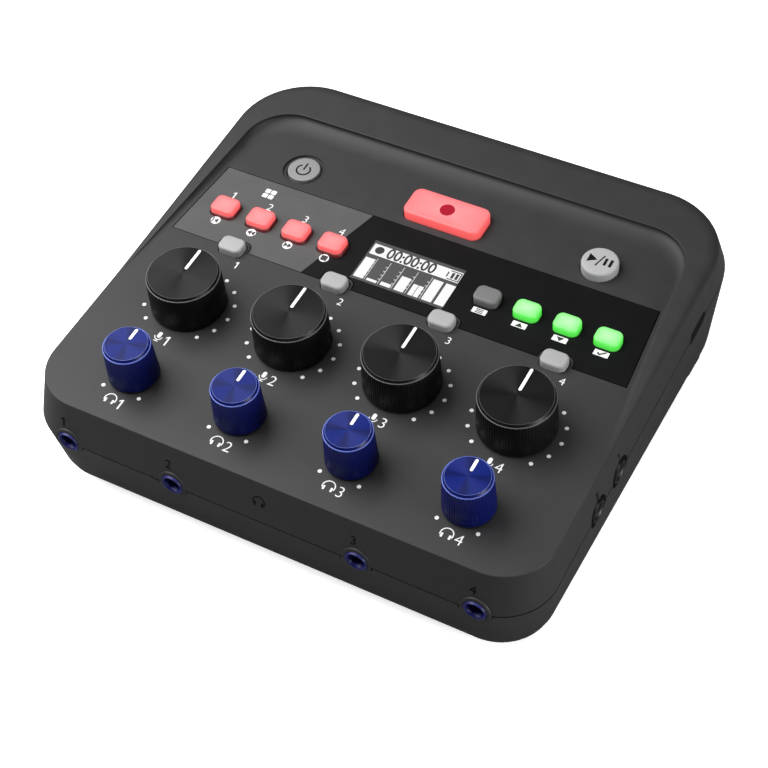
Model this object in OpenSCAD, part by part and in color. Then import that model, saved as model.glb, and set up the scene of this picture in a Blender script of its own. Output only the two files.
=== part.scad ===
// Four-channel desktop podcast recorder: a wedge-shaped two-shell case with a control deck,
// eight rotary knobs, fifteen push buttons, a small display, four microphone sockets at the
// back, four headphone sockets at the front and a battery bay in the base.
// Frame: +X right, +Y back, +Z up, origin on the desk under the middle of the case.
// Deck frame: z = 0 is the control deck, y = 0 the row of large knobs.

/* [Case] */
// Width of the case along its parting line
case_w = 156.2; // [152:0.2:180]
// Large-knob row to the front of the parting line
case_front = 49; // [44:0.5:60]
// Large-knob row to the back of the parting line
case_rear = 102; // [99:0.5:125]
// Plan radius of the front corners at the parting line
front_corner_r = 15.5; // [10:0.5:24]
// Plan radius of the back corners at the parting line
rear_corner_r = 23.5; // [14:0.5:30]
// Depth of the parting line below the deck
parting_depth = 12.6; // [12:0.1:18]
// Wall thickness of both shells
wall = 2.4; // [2:0.1:3]
// Slope of the control deck to the desk, degrees
deck_tilt = 7; // [4:0.5:12]
// Height and depth of the shadow groove along the parting line
seam_gap = 0.3; // [0.2:0.1:0.8]

/* [Deck] */
// Width of the deck at its top edge
deck_w = 152.6; // [146:0.2:160]
// Large-knob row to the front edge of the deck
deck_front = 45.2; // [41:0.2:55]
// Plan radius of the deck's front corners
deck_corner_r = 15; // [8:0.5:22]
// Thickness of the deck plate
deck_t = 2.4; // [2:0.1:3.4]

/* [Rim] */
// Large-knob row to the line where the rim starts to rise
rim_start = 0.9; // [-4:0.1:10]
// Slope of the rim to the deck, degrees
rim_tilt = 2.3; // [1.5:0.1:4]
// Width of the rim's flat top at the back
rim_w = 149; // [144:0.5:152]
// Large-knob row to the back edge of the rim's flat top
rim_rear = 90.4; // [88:0.2:97]
// Plan radius of the rim's back corners
rim_corner_r = 19; // [12:0.5:26]
// Rounding of the rim's outer edge at the back
rim_round = 3; // [1:0.25:4]
// Width of the basin floor where the rim starts
floor_front_w = 148; // [142:0.2:148]
// Width of the basin floor at the back
floor_rear_w = 139.4; // [130:0.2:140]
// Large-knob row to the back of the basin floor
floor_rear = 72.2; // [70:0.2:75]
// Width of the basin mouth where the rim starts
mouth_front_w = 150.8; // [148:0.2:152]
// Width of the basin mouth at the back
mouth_rear_w = 141.6; // [140.2:0.2:143]
// Large-knob row to the back of the basin mouth
mouth_rear = 78.3; // [75.5:0.1:82]
// Plan radius of the basin's back corners
basin_corner_r = 14; // [8:0.5:20]
// Steepness of the curved basin wall at its top, degrees
basin_wall_angle = 54; // [30:1:75]

/* [Base] */
// Depth of the base below the deck at the large-knob row
base_depth = 39.1; // [36:0.1:48]
// Slope of the base to the desk, degrees
base_tilt = 2; // [0.5:0.25:3.5]
// Width of the base wall just above its rounding
base_w = 153.2; // [148:0.2:158]
// Large-knob row to the front of the base wall
base_front = 48.4; // [44:0.2:52]
// Large-knob row to the back of the base wall
base_rear = 98.3; // [95:0.2:104]
// Rounding between the walls and the base
base_round = 10; // [6:0.5:12]

/* [Feet] */
// Height of the front feet
front_foot_h = 1.2; // [0.8:0.1:4]
// Width of a front foot
front_foot_w = 14; // [11:0.5:18]
// Depth of a front foot
front_foot_d = 10.5; // [9.5:0.5:14]
// Width of a back foot
rear_foot_w = 14; // [11:0.5:18]
// Depth of a back foot
rear_foot_d = 17; // [12:0.5:18]
// Plan radius of the feet's corners
foot_corner_r = 4.5; // [2:0.5:4.5]
// Middle of the case to the outer end of a foot
foot_reach = 68; // [60:0.5:69]
// Large-knob row to the middle of the front feet
front_foot_y = 33; // [28:0.5:35]
// Large-knob row to the middle of the back feet
rear_foot_y = 79.5; // [74:0.5:82]

/* [Fascia] */
// Large-knob row to the front edge of the fascia
fascia_front = 23.8; // [22:0.1:26]
// Large-knob row to the back edge of the fascia
fascia_rear = 52.2; // [49:0.1:53.5]
// Thickness of the fascia
fascia_t = 1.2; // [0.8:0.1:1.4]
// Groove between the fascia and the deck around it
fascia_gap = 0.25; // [0.1:0.05:0.5]
// Width of the deck tongue around a mute button
tongue_w = 10.2; // [9.6:0.1:11]
// Large-knob row to the tip of a deck tongue
tongue_tip = 27.4; // [27.2:0.1:29]
// Width of the display window
window_w = 29.2; // [24:0.2:32]
// Depth of the display window
window_d = 15.8; // [12:0.2:16]
// Large-knob row to the middle of the display window
window_y = 36; // [35.5:0.1:36.5]
// Ledge that carries the window all round
window_ledge = 0.9; // [0.5:0.1:1.5]

/* [Knobs] */
// Pitch of the four channel columns
channel_pitch = 34; // [32.5:0.1:35]
// Diameter of a gain knob at its foot
gain_knob_d = 21.8; // [18:0.2:24]
// Height of a gain knob's top above the deck
gain_knob_h = 12.9; // [11:0.1:16]
// Diameter of a headphone knob at its foot
phones_knob_d = 14.4; // [12.6:0.1:16]
// Height of a headphone knob's top above the deck
phones_knob_h = 13; // [11:0.1:16]
// Large-knob row to the row of headphone knobs
phones_row = 28.4; // [26.5:0.1:29.5]
// Inward lean of a knob's side from foot to top
knob_taper = 0.4; // [0:0.1:1]
// Bevel at a knob's top edge, across and down
knob_bevel = 0.85; // [0.4:0.05:1.2]
// Gap between a knob and the deck
knob_gap = 0.5; // [0.3:0.05:1]
// Thickness of a knob's side
knob_side = 1.3; // [1:0.1:2]
// Thickness of a knob's roof
knob_roof = 2.4; // [1.6:0.1:4]
// Diameter of a pot shaft
shaft_d = 6; // [5:0.1:6.4]
// Width of the pointer slot
pointer_w = 0.9; // [0.6:0.1:1.4]
// Depth of the pointer slot
pointer_depth = 0.35; // [0.2:0.05:0.6]
// Middle of a gain knob to the inner end of its pointer
gain_pointer_in = 1.7; // [0:0.1:4]
// Middle of a headphone knob to the inner end of its pointer
phones_pointer_in = 2; // [0:0.1:3]

/* [Buttons] */
// Pitch of the pads and of the function buttons
key_pitch = 12.1; // [11.4:0.1:12.6]
// Middle of the case to the outermost pad or function button
key_reach = 61; // [60.5:0.1:62]
// Large-knob row to the row of pads and function buttons
key_row = 36.7; // [36:0.1:37.5]
// Width of a pad
pad_w = 8.1; // [7:0.1:8.6]
// Depth of a pad
pad_d = 6.6; // [5.6:0.1:7]
// Width of a function button
function_w = 7.6; // [6.6:0.1:8.2]
// Depth of a function button
function_d = 5.9; // [5:0.1:6.4]
// Large-knob row to the row of mute buttons
mute_row = 23.6; // [23:0.1:24]
// Width of a mute button
mute_w = 7.8; // [7:0.1:8.2]
// Depth of a mute button
mute_d = 5.6; // [5:0.1:5.8]
// Height of pads, function and mute buttons above the deck
key_h = 2.2; // [1.6:0.1:3.4]
// Plan radius of those buttons' corners
key_corner_r = 2; // [1.2:0.1:2.4]
// Width of the record button
record_w = 24.6; // [20:0.2:28]
// Depth of the record button
record_d = 10.8; // [8:0.2:11.6]
// Plan radius of the record button's corners
record_corner_r = 2.6; // [1.6:0.1:4]
// Height of the record and play buttons above the deck
record_h = 2.8; // [2:0.1:4]
// Large-knob row to the middle of the record button
record_row = 60.6; // [60:0.1:62]
// Middle of the case to the power and play buttons
side_key_x = 48.2; // [44:0.2:52]
// Diameter of the play button
play_d = 10.8; // [8:0.2:12]
// Diameter of the power button
power_d = 10; // [8:0.2:11]
// Diameter of the recess round the power button
power_recess_d = 12.8; // [12:0.1:14]
// Depth of the recess round the power button
power_recess = 0.9; // [0.4:0.1:1.2]
// Height of the power button above the deck
power_h = 0.2; // [0:0.1:1.5]
// Rounding of the buttons' top edges
key_round = 0.9; // [0.4:0.1:1.2]
// Travel of every button
key_travel = 0.8; // [0.4:0.1:1]
// Gap between a button and the hole it slides in
key_gap = 0.3; // [0.2:0.05:0.45]
// Width of the hidden flange round a button
key_flange = 0.9; // [0.6:0.1:1]
// Thickness of that flange
key_flange_t = 0.9; // [0.6:0.1:1]

/* [Board] */
// Depth of the board's top face below the deck
board_depth = 8; // [7.8:0.1:8.6]
// Thickness of the board
board_t = 1.6; // [1:0.1:1.8]
// Width of the board
board_w = 138; // [134:0.5:142]
// Large-knob row to the front edge of the board
board_front = 38; // [36:0.5:40]
// Large-knob row to the back edge of the board
board_rear = 74; // [70:0.5:78]
// Width of a gain pot
gain_pot_w = 13; // [11:0.2:15]
// Width of a headphone pot
phones_pot_w = 10; // [9:0.2:11]
// Width of a key switch
switch_w = 4.6; // [4:0.1:5]
// Height of a key switch's body
switch_h = 1.5; // [1:0.1:1.6]
// Thickness of the display module
display_t = 2.8; // [1.5:0.1:4]

/* [Sockets] */
// Bore of the headphone and line sockets
jack_d = 3.6; // [3.5:0.05:3.8]
// Diameter of the collar round a headphone or line socket
collar_d = 6.6; // [6:0.1:7.5]
// Diameter of the recess round a headphone or line socket
scallop_d = 9.6; // [8.6:0.1:10.5]
// Depth of that recess behind the parting line's edge
scallop_depth = 1.6; // [1:0.1:1.8]
// Length of a socket body behind its recess
jack_length = 10; // [9:0.5:12]
// Width of a socket body
jack_w = 6.4; // [6:0.1:7.2]
// Middle of the case to the inner headphone socket of a pair
phones_jack_x = 28.2; // [26:0.1:30]
// Large-knob row to the phone line socket
line_jack_y = 6.2; // [6:0.1:6.6]
// Large-knob row to the front line socket
aux_jack_y = -7.9; // [-9:0.1:-7]
// Large-knob row to the supply port
usb_y = 61.5; // [55:0.5:64]
// Width of the supply port's mouth
usb_w = 9; // [8.4:0.1:9.4]
// Height of the supply port's mouth
usb_h = 3.2; // [2.6:0.1:3.4]
// Length of the supply port
usb_length = 12; // [10:0.5:14]
// Large-knob row to the card slot
card_y = 30; // [24:0.5:40]
// Width of the card slot
card_w = 12; // [11.4:0.1:13]
// Height of the card slot
card_h = 2; // [1.6:0.1:2.4]
// Length of the card slot
card_length = 15; // [14:0.5:18]

/* [Microphone sockets] */
// Outer diameter of a microphone socket's barrel
mic_d = 23; // [22:0.1:23.4]
// Bore of a microphone socket
mic_bore_d = 19.2; // [18.8:0.1:19.6]
// Diameter of the contact insert
mic_insert_d = 15.6; // [15.2:0.1:15.8]
// Diameter of a contact hole
mic_contact_d = 2.8; // [2.4:0.1:3]
// Radius of the circle of contacts
mic_contact_r = 4.1; // [3.8:0.1:4.6]
// Depth of the annular gap
mic_depth = 13; // [11:0.5:14]
// Length of a microphone socket
mic_length = 22; // [18:0.5:24]
// Height of a microphone socket's face above the back wall
mic_proud = 0.6; // [0.2:0.1:1.5]
// Depth of the sockets' axes below the deck, at the back
mic_axis_depth = 26.4; // [26.2:0.1:26.8]

/* [Battery bay] */
// Width of the battery bay
bay_w = 58; // [52:0.5:62]
// Depth of the battery bay, two cells side by side
bay_d = 31; // [30:0.5:34]
// Height of the battery bay
bay_h = 17; // [16:0.5:18]
// Large-knob row to the middle of the battery bay
bay_y = 8; // [4:0.5:14]
// Thickness of the bay's walls
bay_wall = 3; // [2.6:0.1:3.6]
// Thickness of the battery door
door_t = 1.8; // [1.4:0.1:2.2]
// Lap of the battery door over the bay's mouth
door_lap = 1.4; // [1:0.1:1.8]
// Gap round the battery door
door_gap = 0.35; // [0.3:0.05:0.5]
// Diameter of the battery door's hinge pins
pin_d = 1.2; // [0.9:0.1:1.3]
// Thickness of a battery contact
contact_t = 0.6; // [0.4:0.1:1]

/* [Screws] */
// Diameter of the case screws
case_screw_d = 3; // [2.6:0.1:3.2]
// Diameter of the case screws' heads
case_head_d = 5.6; // [5:0.1:5.8]
// Outer diameter of the posts that the case screws pass
post_d = 9; // [8.4:0.1:9.4]
// Outer diameter of the bosses that the case screws grip
boss_d = 6.8; // [6:0.1:7.2]
// Length of post below the parting line that a case screw clamps
clamp_length = 9; // [6:0.5:11]
// Grip of a case screw in its boss
screw_grip = 7; // [5:0.5:8]
// Diameter of the board screws
board_screw_d = 2; // [1.6:0.1:2.4]
// Middle of the case to the front screws
front_screw_x = 40; // [38:0.5:41]
// Middle of the case to the middle screws
mid_screw_x = 63.4; // [62:0.2:65]
// Large-knob row to the front screws
front_screw_y = 29; // [26:0.5:30]
// Large-knob row to the middle screws
mid_screw_y = 15; // [14.6:0.1:16]
// Large-knob row to the back screws
rear_screw_y = 88; // [86:0.5:90]

/* [Hidden] */

// Stacked outlines have a thin skin, forms a trim allowance, and cuts run past the faces they open
skin = 0.01;
cut = 1;
basin_clear = 10;
trim = 0.05;
arc_fn = 64;
small_fn = 48;
cap_fn = 32;

// Fits
running_fit = 0.05;
press_fit = 0.02;
shaft_hole_gap = 0.6;
part_gap = 0.3;
socket_clear = 0.6;

// Small details that no other size depends on
socket_floor = 1;
nose_wall = 0.7;
collar_set = 0.4;
port_wall = 0.4;
port_set = 0.6;
port_rim = 1;
tongue_t = 0.7;
card_wall = 0.8;
light_w = 1.2;
light_h = 0.8;
switch_nub_h = 0.5;
stem_d = 3;
hub_wall = 1.4;
hub_set = 0.6;
pointer_edge = 1.2;
insert_set = 1.2;
contact_floor = 2;
display_margin = 2;
drive_w = 0.8;
drive_depth = 1;
case_head_h = 2;
board_head_h = 1.4;
board_boss_d = 5.6;
board_screw_h = 5;
pin_grip = 1.2;
tread_count = 5;
tread_pitch = 1.6;
tread_w = 0.8;
tread_depth = 0.4;

// Colours
lit_green = [0.4, 0.95, 0.4];
plain_grey = [0.4, 0.4, 0.4];

// The deck frame stands on the base frame, and the base frame on the front feet
base_rel = deck_tilt - base_tilt;
frame_y = -((case_rear - case_front) / 2 * cos(deck_tilt) + parting_depth * sin(deck_tilt) + mic_proud / 2);
frame_z = front_foot_h + base_depth * cos(deck_tilt) + front_foot_y * sin(base_tilt);
rear_foot_h = front_foot_h + (rear_foot_y + front_foot_y) * sin(base_tilt);

// Columns of the four channels, and rows of keys
channel_x = [for (i = [0:3]) (i - 1.5) * channel_pitch];
pad_x = [for (i = [0:3]) -key_reach + i * key_pitch];
function_x = [for (i = [0:3]) key_reach - (3 - i) * key_pitch];
phones_jack_xs = [-phones_jack_x - channel_pitch, -phones_jack_x,
                  phones_jack_x, phones_jack_x + channel_pitch];

// Heights in the deck frame
board_top = -board_depth;
board_bottom = board_top - board_t;
jack_half_h = parting_depth + board_bottom;
flange_top = -deck_t - part_gap;
switch_top = board_top + switch_h + switch_nub_h;
stem_bottom = switch_top + key_travel + part_gap;

// Inward lean of the upper shell's inner walls, and the setback of socket bodies behind them
hollow_h = parting_depth + cut - deck_t;
side_lean = max(0, (case_w - deck_w) / 2) / hollow_h;
front_lean = max(0, case_front - deck_front) / hollow_h;
side_set = wall + side_lean * (jack_half_h + cut) + socket_clear;
front_set = wall + front_lean * (jack_half_h + cut) + socket_clear;

// Places of all keys, and of the keys with a light
key_places = concat(
    [for (x = pad_x) [x, key_row]],
    [for (x = function_x) [x, key_row]],
    [for (x = channel_x) [x, mute_row]],
    [[0, record_row], [-side_key_x, record_row], [side_key_x, record_row]]);
lit_places = concat(
    [for (x = pad_x) [x, key_row]],
    [for (i = [1:3]) [function_x[i], key_row]],
    [[0, record_row]]);

// Screws, in the deck frame
case_screw_places = [[-front_screw_x, -front_screw_y], [front_screw_x, -front_screw_y],
                     [-mid_screw_x, mid_screw_y], [mid_screw_x, mid_screw_y],
                     [-channel_pitch, rear_screw_y], [channel_pitch, rear_screw_y]];
board_screw_front = -phones_row / 2;
board_screw_rear = (key_row + record_row) / 2;
board_screw_places = [[-channel_pitch, board_screw_front], [channel_pitch, board_screw_front],
                      [-channel_pitch, board_screw_rear], [channel_pitch, board_screw_rear]];

// Microphone sockets: their faces stand just proud of the back of the parting line
mic_y = case_rear - (mic_axis_depth - parting_depth) * tan(deck_tilt) + mic_proud / cos(deck_tilt);

// Battery door, in the base frame
door_w = bay_w + 2 * door_lap;
door_d = bay_d + 2 * door_lap;

// Display module between the mute buttons' flanges and the back of its window
display_front = mute_row + mute_d / 2 + key_flange + part_gap;
display_rear = window_y + window_d / 2 + display_margin;

// Moves children from the deck frame to the object's frame
module on_deck() {
    translate([0, frame_y, frame_z]) rotate([deck_tilt, 0, 0]) children();
}

// Moves children from the base frame to the object's frame
module on_base() {
    translate([0, frame_y + base_depth * sin(deck_tilt), frame_z - base_depth * cos(deck_tilt)])
        rotate([base_tilt, 0, 0]) children();
}

// Moves children from the base frame into the deck frame
module base_in_deck() {
    translate([0, 0, -base_depth]) rotate([-base_rel, 0, 0]) children();
}

// Points children out of the front wall, right wall or left wall on the parting line
module at_front(x) {
    translate([x, -case_front, -parting_depth]) rotate([90, 0, 0]) children();
}
module at_right(y) {
    translate([case_w / 2, y, -parting_depth]) rotate([90, 0, 90]) children();
}
module at_left(y) {
    translate([-case_w / 2, y, -parting_depth]) rotate([90, 0, -90]) children();
}

// Rectangle with round corners
module round_rect(w, d, r) {
    square([w - 2 * r, d], center = true);
    square([w, d - 2 * r], center = true);
    for (x = [-1, 1]) {
        for (y = [-1, 1]) {
            translate([x * (w / 2 - r), y * (d / 2 - r)]) circle(r = r, $fn = small_fn);
        }
    }
}

// Four corner discs of one outline, for a hull
module outline(half_w, front, rear, front_r, rear_r, h) {
    for (x = [-1, 1]) {
        translate([x * (half_w - front_r), front_r - front, 0])
            cylinder(r = front_r, h = h, $fn = arc_fn);
        translate([x * (half_w - rear_r), rear - rear_r, 0])
            cylinder(r = rear_r, h = h, $fn = arc_fn);
    }
}

// Moves children onto the slope of the rim, with y = 0 where it starts to rise
module on_rim() {
    translate([0, rim_start, 0]) rotate([rim_tilt, 0, 0]) children();
}

// Outer form of the upper shell, a little higher than the deck and the rim
module case_form() {
    hull() {
        translate([0, 0, -parting_depth])
            outline(case_w / 2, case_front, case_rear, front_corner_r, rear_corner_r, seam_gap);
        for (x = [-1, 1]) {
            translate([x * (deck_w / 2 - deck_corner_r), deck_corner_r - deck_front, -seam_gap])
                cylinder(r = deck_corner_r, h = seam_gap + trim, $fn = arc_fn);
            on_rim() translate([x * (rim_w / 2 - rim_corner_r), rim_rear - rim_corner_r - rim_start, trim])
                rotate_extrude($fn = arc_fn) polygon(concat(
                    [[0, 0], [0, -rim_round]],
                    [for (a = [90:-18:0]) [rim_corner_r + rim_round * sin(a), rim_round * (cos(a) - 1)]]));
        }
    }
}

// Space above the deck in front of the rim, and above the slope of the rim
module case_trim() {
    translate([-case_w, -case_rear, 0]) cube([2 * case_w, case_rear + rim_start, basin_clear]);
    on_rim() translate([-case_w, 0, 0]) cube([2 * case_w, 2 * case_rear, basin_clear]);
}

// Space above the deck inside the rim, with a concave wall
module basin_form() {
    hull() {
        for (a = [0:basin_wall_angle / 6:basin_wall_angle]) {
            reach = sin(a) / sin(basin_wall_angle);
            rise = (1 - cos(a)) / (1 - cos(basin_wall_angle));
            half_front = (floor_front_w + (mouth_front_w - floor_front_w) * reach) / 2;
            half_rear = (floor_rear_w + (mouth_rear_w - floor_rear_w) * reach) / 2;
            rear = floor_rear + (mouth_rear - floor_rear) * reach;
            for (x = [-1, 1]) {
                translate([x * (half_front - skin / 2), rim_start - cut, skin / 2]) cube(skin, center = true);
                translate([0, rim_start, 0]) rotate([rim_tilt * rise, 0, 0])
                    translate([x * (half_rear - basin_corner_r), rear - basin_corner_r - rim_start, 0])
                        cylinder(r = basin_corner_r, h = skin, $fn = arc_fn);
            }
        }
        translate([0, 0, basin_clear]) for (x = [-1, 1]) {
            translate([x * (mouth_front_w / 2 - skin / 2), rim_start - cut, 0]) cube(skin, center = true);
            translate([x * (mouth_rear_w / 2 - basin_corner_r), mouth_rear - basin_corner_r, 0])
                cylinder(r = basin_corner_r, h = skin, $fn = arc_fn);
        }
    }
}

// Outer form of the lower shell
module base_form() {
    hull() {
        translate([0, 0, -parting_depth - seam_gap])
            outline(case_w / 2, case_front, case_rear, front_corner_r, rear_corner_r, seam_gap);
        base_in_deck() for (a = [0:15:90]) {
            inset = base_round * (1 - cos(a));
            translate([0, 0, base_round * (1 - sin(a))])
                outline(base_w / 2 - inset, base_front - inset, base_rear - inset,
                        front_corner_r - inset, rear_corner_r - inset, skin);
        }
    }
}

// Hollow of the upper shell
module deck_hollow() {
    hull() {
        translate([0, 0, -parting_depth - cut])
            outline(case_w / 2 - wall, case_front - wall, case_rear - wall,
                    front_corner_r - wall, rear_corner_r - wall, skin);
        translate([0, 0, -deck_t - skin])
            outline(deck_w / 2 - wall, deck_front - wall, rim_rear - wall,
                    deck_corner_r - wall, rim_corner_r - wall, skin);
    }
}

// Hollow of the lower shell
module base_hollow() {
    hull() {
        translate([0, 0, -parting_depth + cut])
            outline(case_w / 2 - wall, case_front - wall, case_rear - wall,
                    front_corner_r - wall, rear_corner_r - wall, skin);
        base_in_deck() for (a = [0:30:90]) {
            round_r = base_round - wall;
            inset = wall + round_r * (1 - cos(a));
            translate([0, 0, base_round - round_r * sin(a)])
                outline(base_w / 2 - inset, base_front - inset, base_rear - inset,
                        front_corner_r - inset, rear_corner_r - inset, skin);
        }
    }
}

// Fascia outline in plan, grown by g, with the tongues of the deck left out
function floor_half_w(y) = (floor_front_w + (floor_rear_w - floor_front_w)
    * (y - rim_start) / (floor_rear - basin_corner_r - rim_start)) / 2;
module fascia_shape(g) {
    front = fascia_front - g;
    rear = fascia_rear + g;
    front_half = floor_half_w(fascia_front) - fascia_gap - part_gap + g;
    rear_half = floor_half_w(fascia_rear) - fascia_gap - part_gap + g;
    difference() {
        polygon([[-front_half, front], [front_half, front], [rear_half, rear], [-rear_half, rear]]);
        for (x = channel_x) {
            translate([x, tongue_tip - tongue_w / 2])
                round_rect(tongue_w - 2 * g, tongue_w - 2 * g, key_corner_r + key_gap);
        }
    }
}

// Holes that the keys slide in, in plan, grown by g
module fascia_key_shapes(g) {
    for (x = pad_x) {
        translate([x, key_row]) round_rect(pad_w + 2 * g, pad_d + 2 * g, key_corner_r + g);
    }
    for (x = function_x) {
        translate([x, key_row]) round_rect(function_w + 2 * g, function_d + 2 * g, key_corner_r + g);
    }
}
module deck_key_shapes(g) {
    for (x = channel_x) {
        translate([x, mute_row]) round_rect(mute_w + 2 * g, mute_d + 2 * g, key_corner_r + g);
    }
    translate([0, record_row]) round_rect(record_w + 2 * g, record_d + 2 * g, record_corner_r + g);
    translate([-side_key_x, record_row]) circle(d = power_d + 2 * g, $fn = small_fn);
    translate([side_key_x, record_row]) circle(d = play_d + 2 * g, $fn = small_fn);
}

// Recess and bore that a round socket needs in the wall, drawn along +Z
module socket_recess(bore) {
    translate([0, 0, -scallop_depth]) cylinder(d = scallop_d, h = scallop_depth + cut, $fn = small_fn);
    translate([0, 0, -scallop_depth - 3 * wall])
        cylinder(d = bore, h = 3 * wall + cut, $fn = small_fn);
}

// Cuts that both shells share along the parting line
module wall_sockets() {
    for (x = phones_jack_xs) {
        at_front(x) socket_recess(collar_d + 2 * part_gap);
    }
    at_right(line_jack_y) socket_recess(collar_d + 2 * part_gap);
    at_right(aux_jack_y) socket_recess(collar_d + 2 * part_gap);
    at_right(usb_y) translate([0, 0, -3 * wall]) linear_extrude(3 * wall + cut)
        round_rect(usb_w + 2 * port_rim, usb_h + 2 * port_rim, usb_h / 2);
    at_left(card_y) translate([0, 0, -3 * wall]) linear_extrude(3 * wall + cut)
        round_rect(card_w + 2 * part_gap, card_h + 2 * part_gap, card_h / 4);
}

module top_case() {
    color([0.16, 0.16, 0.165]) on_deck() difference() {
        union() {
            difference() {
                case_form();
                case_trim();
                basin_form();
                deck_hollow();
            }
            for (p = case_screw_places) {
                translate([p[0], p[1], -parting_depth])
                    cylinder(d = boss_d, h = parting_depth - deck_t / 2, $fn = small_fn);
            }
            for (p = board_screw_places) {
                translate([p[0], p[1], board_top])
                    cylinder(d = board_boss_d, h = board_depth - deck_t / 2, $fn = small_fn);
            }
        }
        wall_sockets();
        for (p = case_screw_places) {
            translate([p[0], p[1], -parting_depth - cut])
                cylinder(d = case_screw_d, h = screw_grip + cut + part_gap, $fn = small_fn);
        }
        for (p = board_screw_places) {
            translate([p[0], p[1], board_top - cut])
                cylinder(d = board_screw_d, h = board_screw_h + cut, $fn = small_fn);
        }
        for (x = channel_x) {
            translate([x, 0, -deck_t - cut])
                cylinder(d = shaft_d + 2 * shaft_hole_gap, h = deck_t + 2 * cut, $fn = small_fn);
            translate([x, -phones_row, -deck_t - cut])
                cylinder(d = shaft_d + 2 * shaft_hole_gap, h = deck_t + 2 * cut, $fn = small_fn);
        }
        translate([0, 0, -fascia_t]) linear_extrude(fascia_t + cut) fascia_shape(fascia_gap);
        translate([0, 0, -deck_t - cut]) linear_extrude(deck_t + 2 * cut) fascia_key_shapes(key_gap);
        translate([0, 0, -deck_t - cut]) linear_extrude(deck_t + 2 * cut) deck_key_shapes(key_gap);
        translate([-side_key_x, record_row, -power_recess])
            cylinder(d = power_recess_d, h = power_recess + cut, $fn = small_fn);
        translate([0, window_y, -deck_t - cut]) linear_extrude(deck_t + 2 * cut)
            square([window_w - 2 * window_ledge, window_d - 2 * window_ledge], center = true);
    }
}

module seam_groove() {
    difference() {
        translate([0, 0, -parting_depth - seam_gap]) linear_extrude(seam_gap + cut)
            square([case_w + 2 * cut, 4 * case_rear], center = true);
        translate([0, 0, -parting_depth - seam_gap - cut]) linear_extrude(seam_gap + 3 * cut) union() {
            half_w = case_w / 2 - seam_gap;
            for (x = [-1, 1]) {
                translate([x * (half_w - front_corner_r), front_corner_r - case_front + seam_gap])
                    circle(r = front_corner_r, $fn = arc_fn);
                translate([x * (half_w - rear_corner_r), case_rear - seam_gap - rear_corner_r])
                    circle(r = rear_corner_r, $fn = arc_fn);
            }
            translate([-half_w, front_corner_r - case_front + seam_gap])
                square([2 * half_w, case_rear + case_front - front_corner_r - rear_corner_r - 2 * seam_gap]);
            translate([front_corner_r - half_w, seam_gap - case_front])
                square([2 * (half_w - front_corner_r), case_front]);
            translate([rear_corner_r - half_w, 0])
                square([2 * (half_w - rear_corner_r), case_rear - seam_gap]);
        }
    }
}

// Places children on the axis of one microphone socket, pointing out of the back wall
module at_mic(i) {
    on_deck() translate([channel_x[i], mic_y, -mic_axis_depth]) rotate([-deck_tilt - 90, 0, 0]) children();
}

// Rod along the battery door's hinge line in the base frame, longer than the door by reach at each end
module hinge_rod(d, reach) {
    translate([0, bay_y - door_d / 2 + door_t / 2, door_t / 2]) rotate([0, 90, 0])
        cylinder(d = d, h = door_w + 2 * reach, center = true, $fn = small_fn);
}

module bottom_case() {
    color([0.15, 0.15, 0.155]) difference() {
        union() {
            on_deck() difference() {
                base_form();
                base_hollow();
                seam_groove();
            }
            on_deck() intersection() {
                base_form();
                for (p = case_screw_places) {
                    translate([p[0], p[1], -2 * base_depth])
                        cylinder(d = post_d, h = 2 * base_depth - parting_depth, $fn = small_fn);
                }
            }
            on_base() translate([-bay_w / 2 - bay_wall, bay_y - bay_d / 2 - bay_wall, 0])
                cube([bay_w + 2 * bay_wall, bay_d + 2 * bay_wall, bay_h + bay_wall]);
        }
        on_deck() wall_sockets();
        on_deck() for (p = case_screw_places) {
            translate([p[0], p[1], -2 * base_depth])
                cylinder(d = case_screw_d + 2 * part_gap, h = 2 * base_depth, $fn = small_fn);
            translate([p[0], p[1], -2 * base_depth])
                cylinder(d = case_head_d + 2 * part_gap,
                         h = 2 * base_depth - parting_depth - clamp_length, $fn = small_fn);
        }
        on_base() translate([-bay_w / 2, bay_y - bay_d / 2, -cut]) cube([bay_w, bay_d, bay_h + cut]);
        on_base() translate([-door_w / 2 - door_gap, bay_y - door_d / 2 - door_gap, -cut])
            cube([door_w + 2 * door_gap, door_d + 2 * door_gap, door_t + part_gap + cut]);
        on_base() hinge_rod(pin_d + 2 * running_fit, door_gap + pin_grip + part_gap);
        for (i = [0:3]) {
            at_mic(i) translate([0, 0, -mic_length])
                cylinder(d = mic_d, h = mic_length + cut, $fn = arc_fn);
        }
    }
}

module fascia_panel() {
    color([0.2, 0.2, 0.205]) on_deck() difference() {
        translate([0, 0, -fascia_t]) linear_extrude(fascia_t) fascia_shape(0);
        translate([0, 0, -fascia_t - cut]) linear_extrude(fascia_t + 2 * cut)
            fascia_key_shapes(key_gap);
        translate([0, window_y, -fascia_t - cut]) linear_extrude(fascia_t + 2 * cut)
            square([window_w + 2 * press_fit, window_d + 2 * press_fit], center = true);
    }
}

module display_window() {
    color([0.1, 0.1, 0.11]) on_deck() translate([0, window_y, -fascia_t])
        linear_extrude(fascia_t) square([window_w, window_d], center = true);
}

module display_module() {
    color([0.3, 0.32, 0.33]) on_deck()
        translate([-window_w / 2 - display_margin, display_front, -deck_t - display_t])
            cube([window_w + 2 * display_margin, display_rear - display_front, display_t]);
}

// Room that a collar needs in the board's edge, drawn along +Z
module collar_room() {
    translate([0, 0, -scallop_depth - wall - part_gap])
        cylinder(d = collar_d + 2 * part_gap, h = 2 * jack_length, $fn = small_fn);
}

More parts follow.
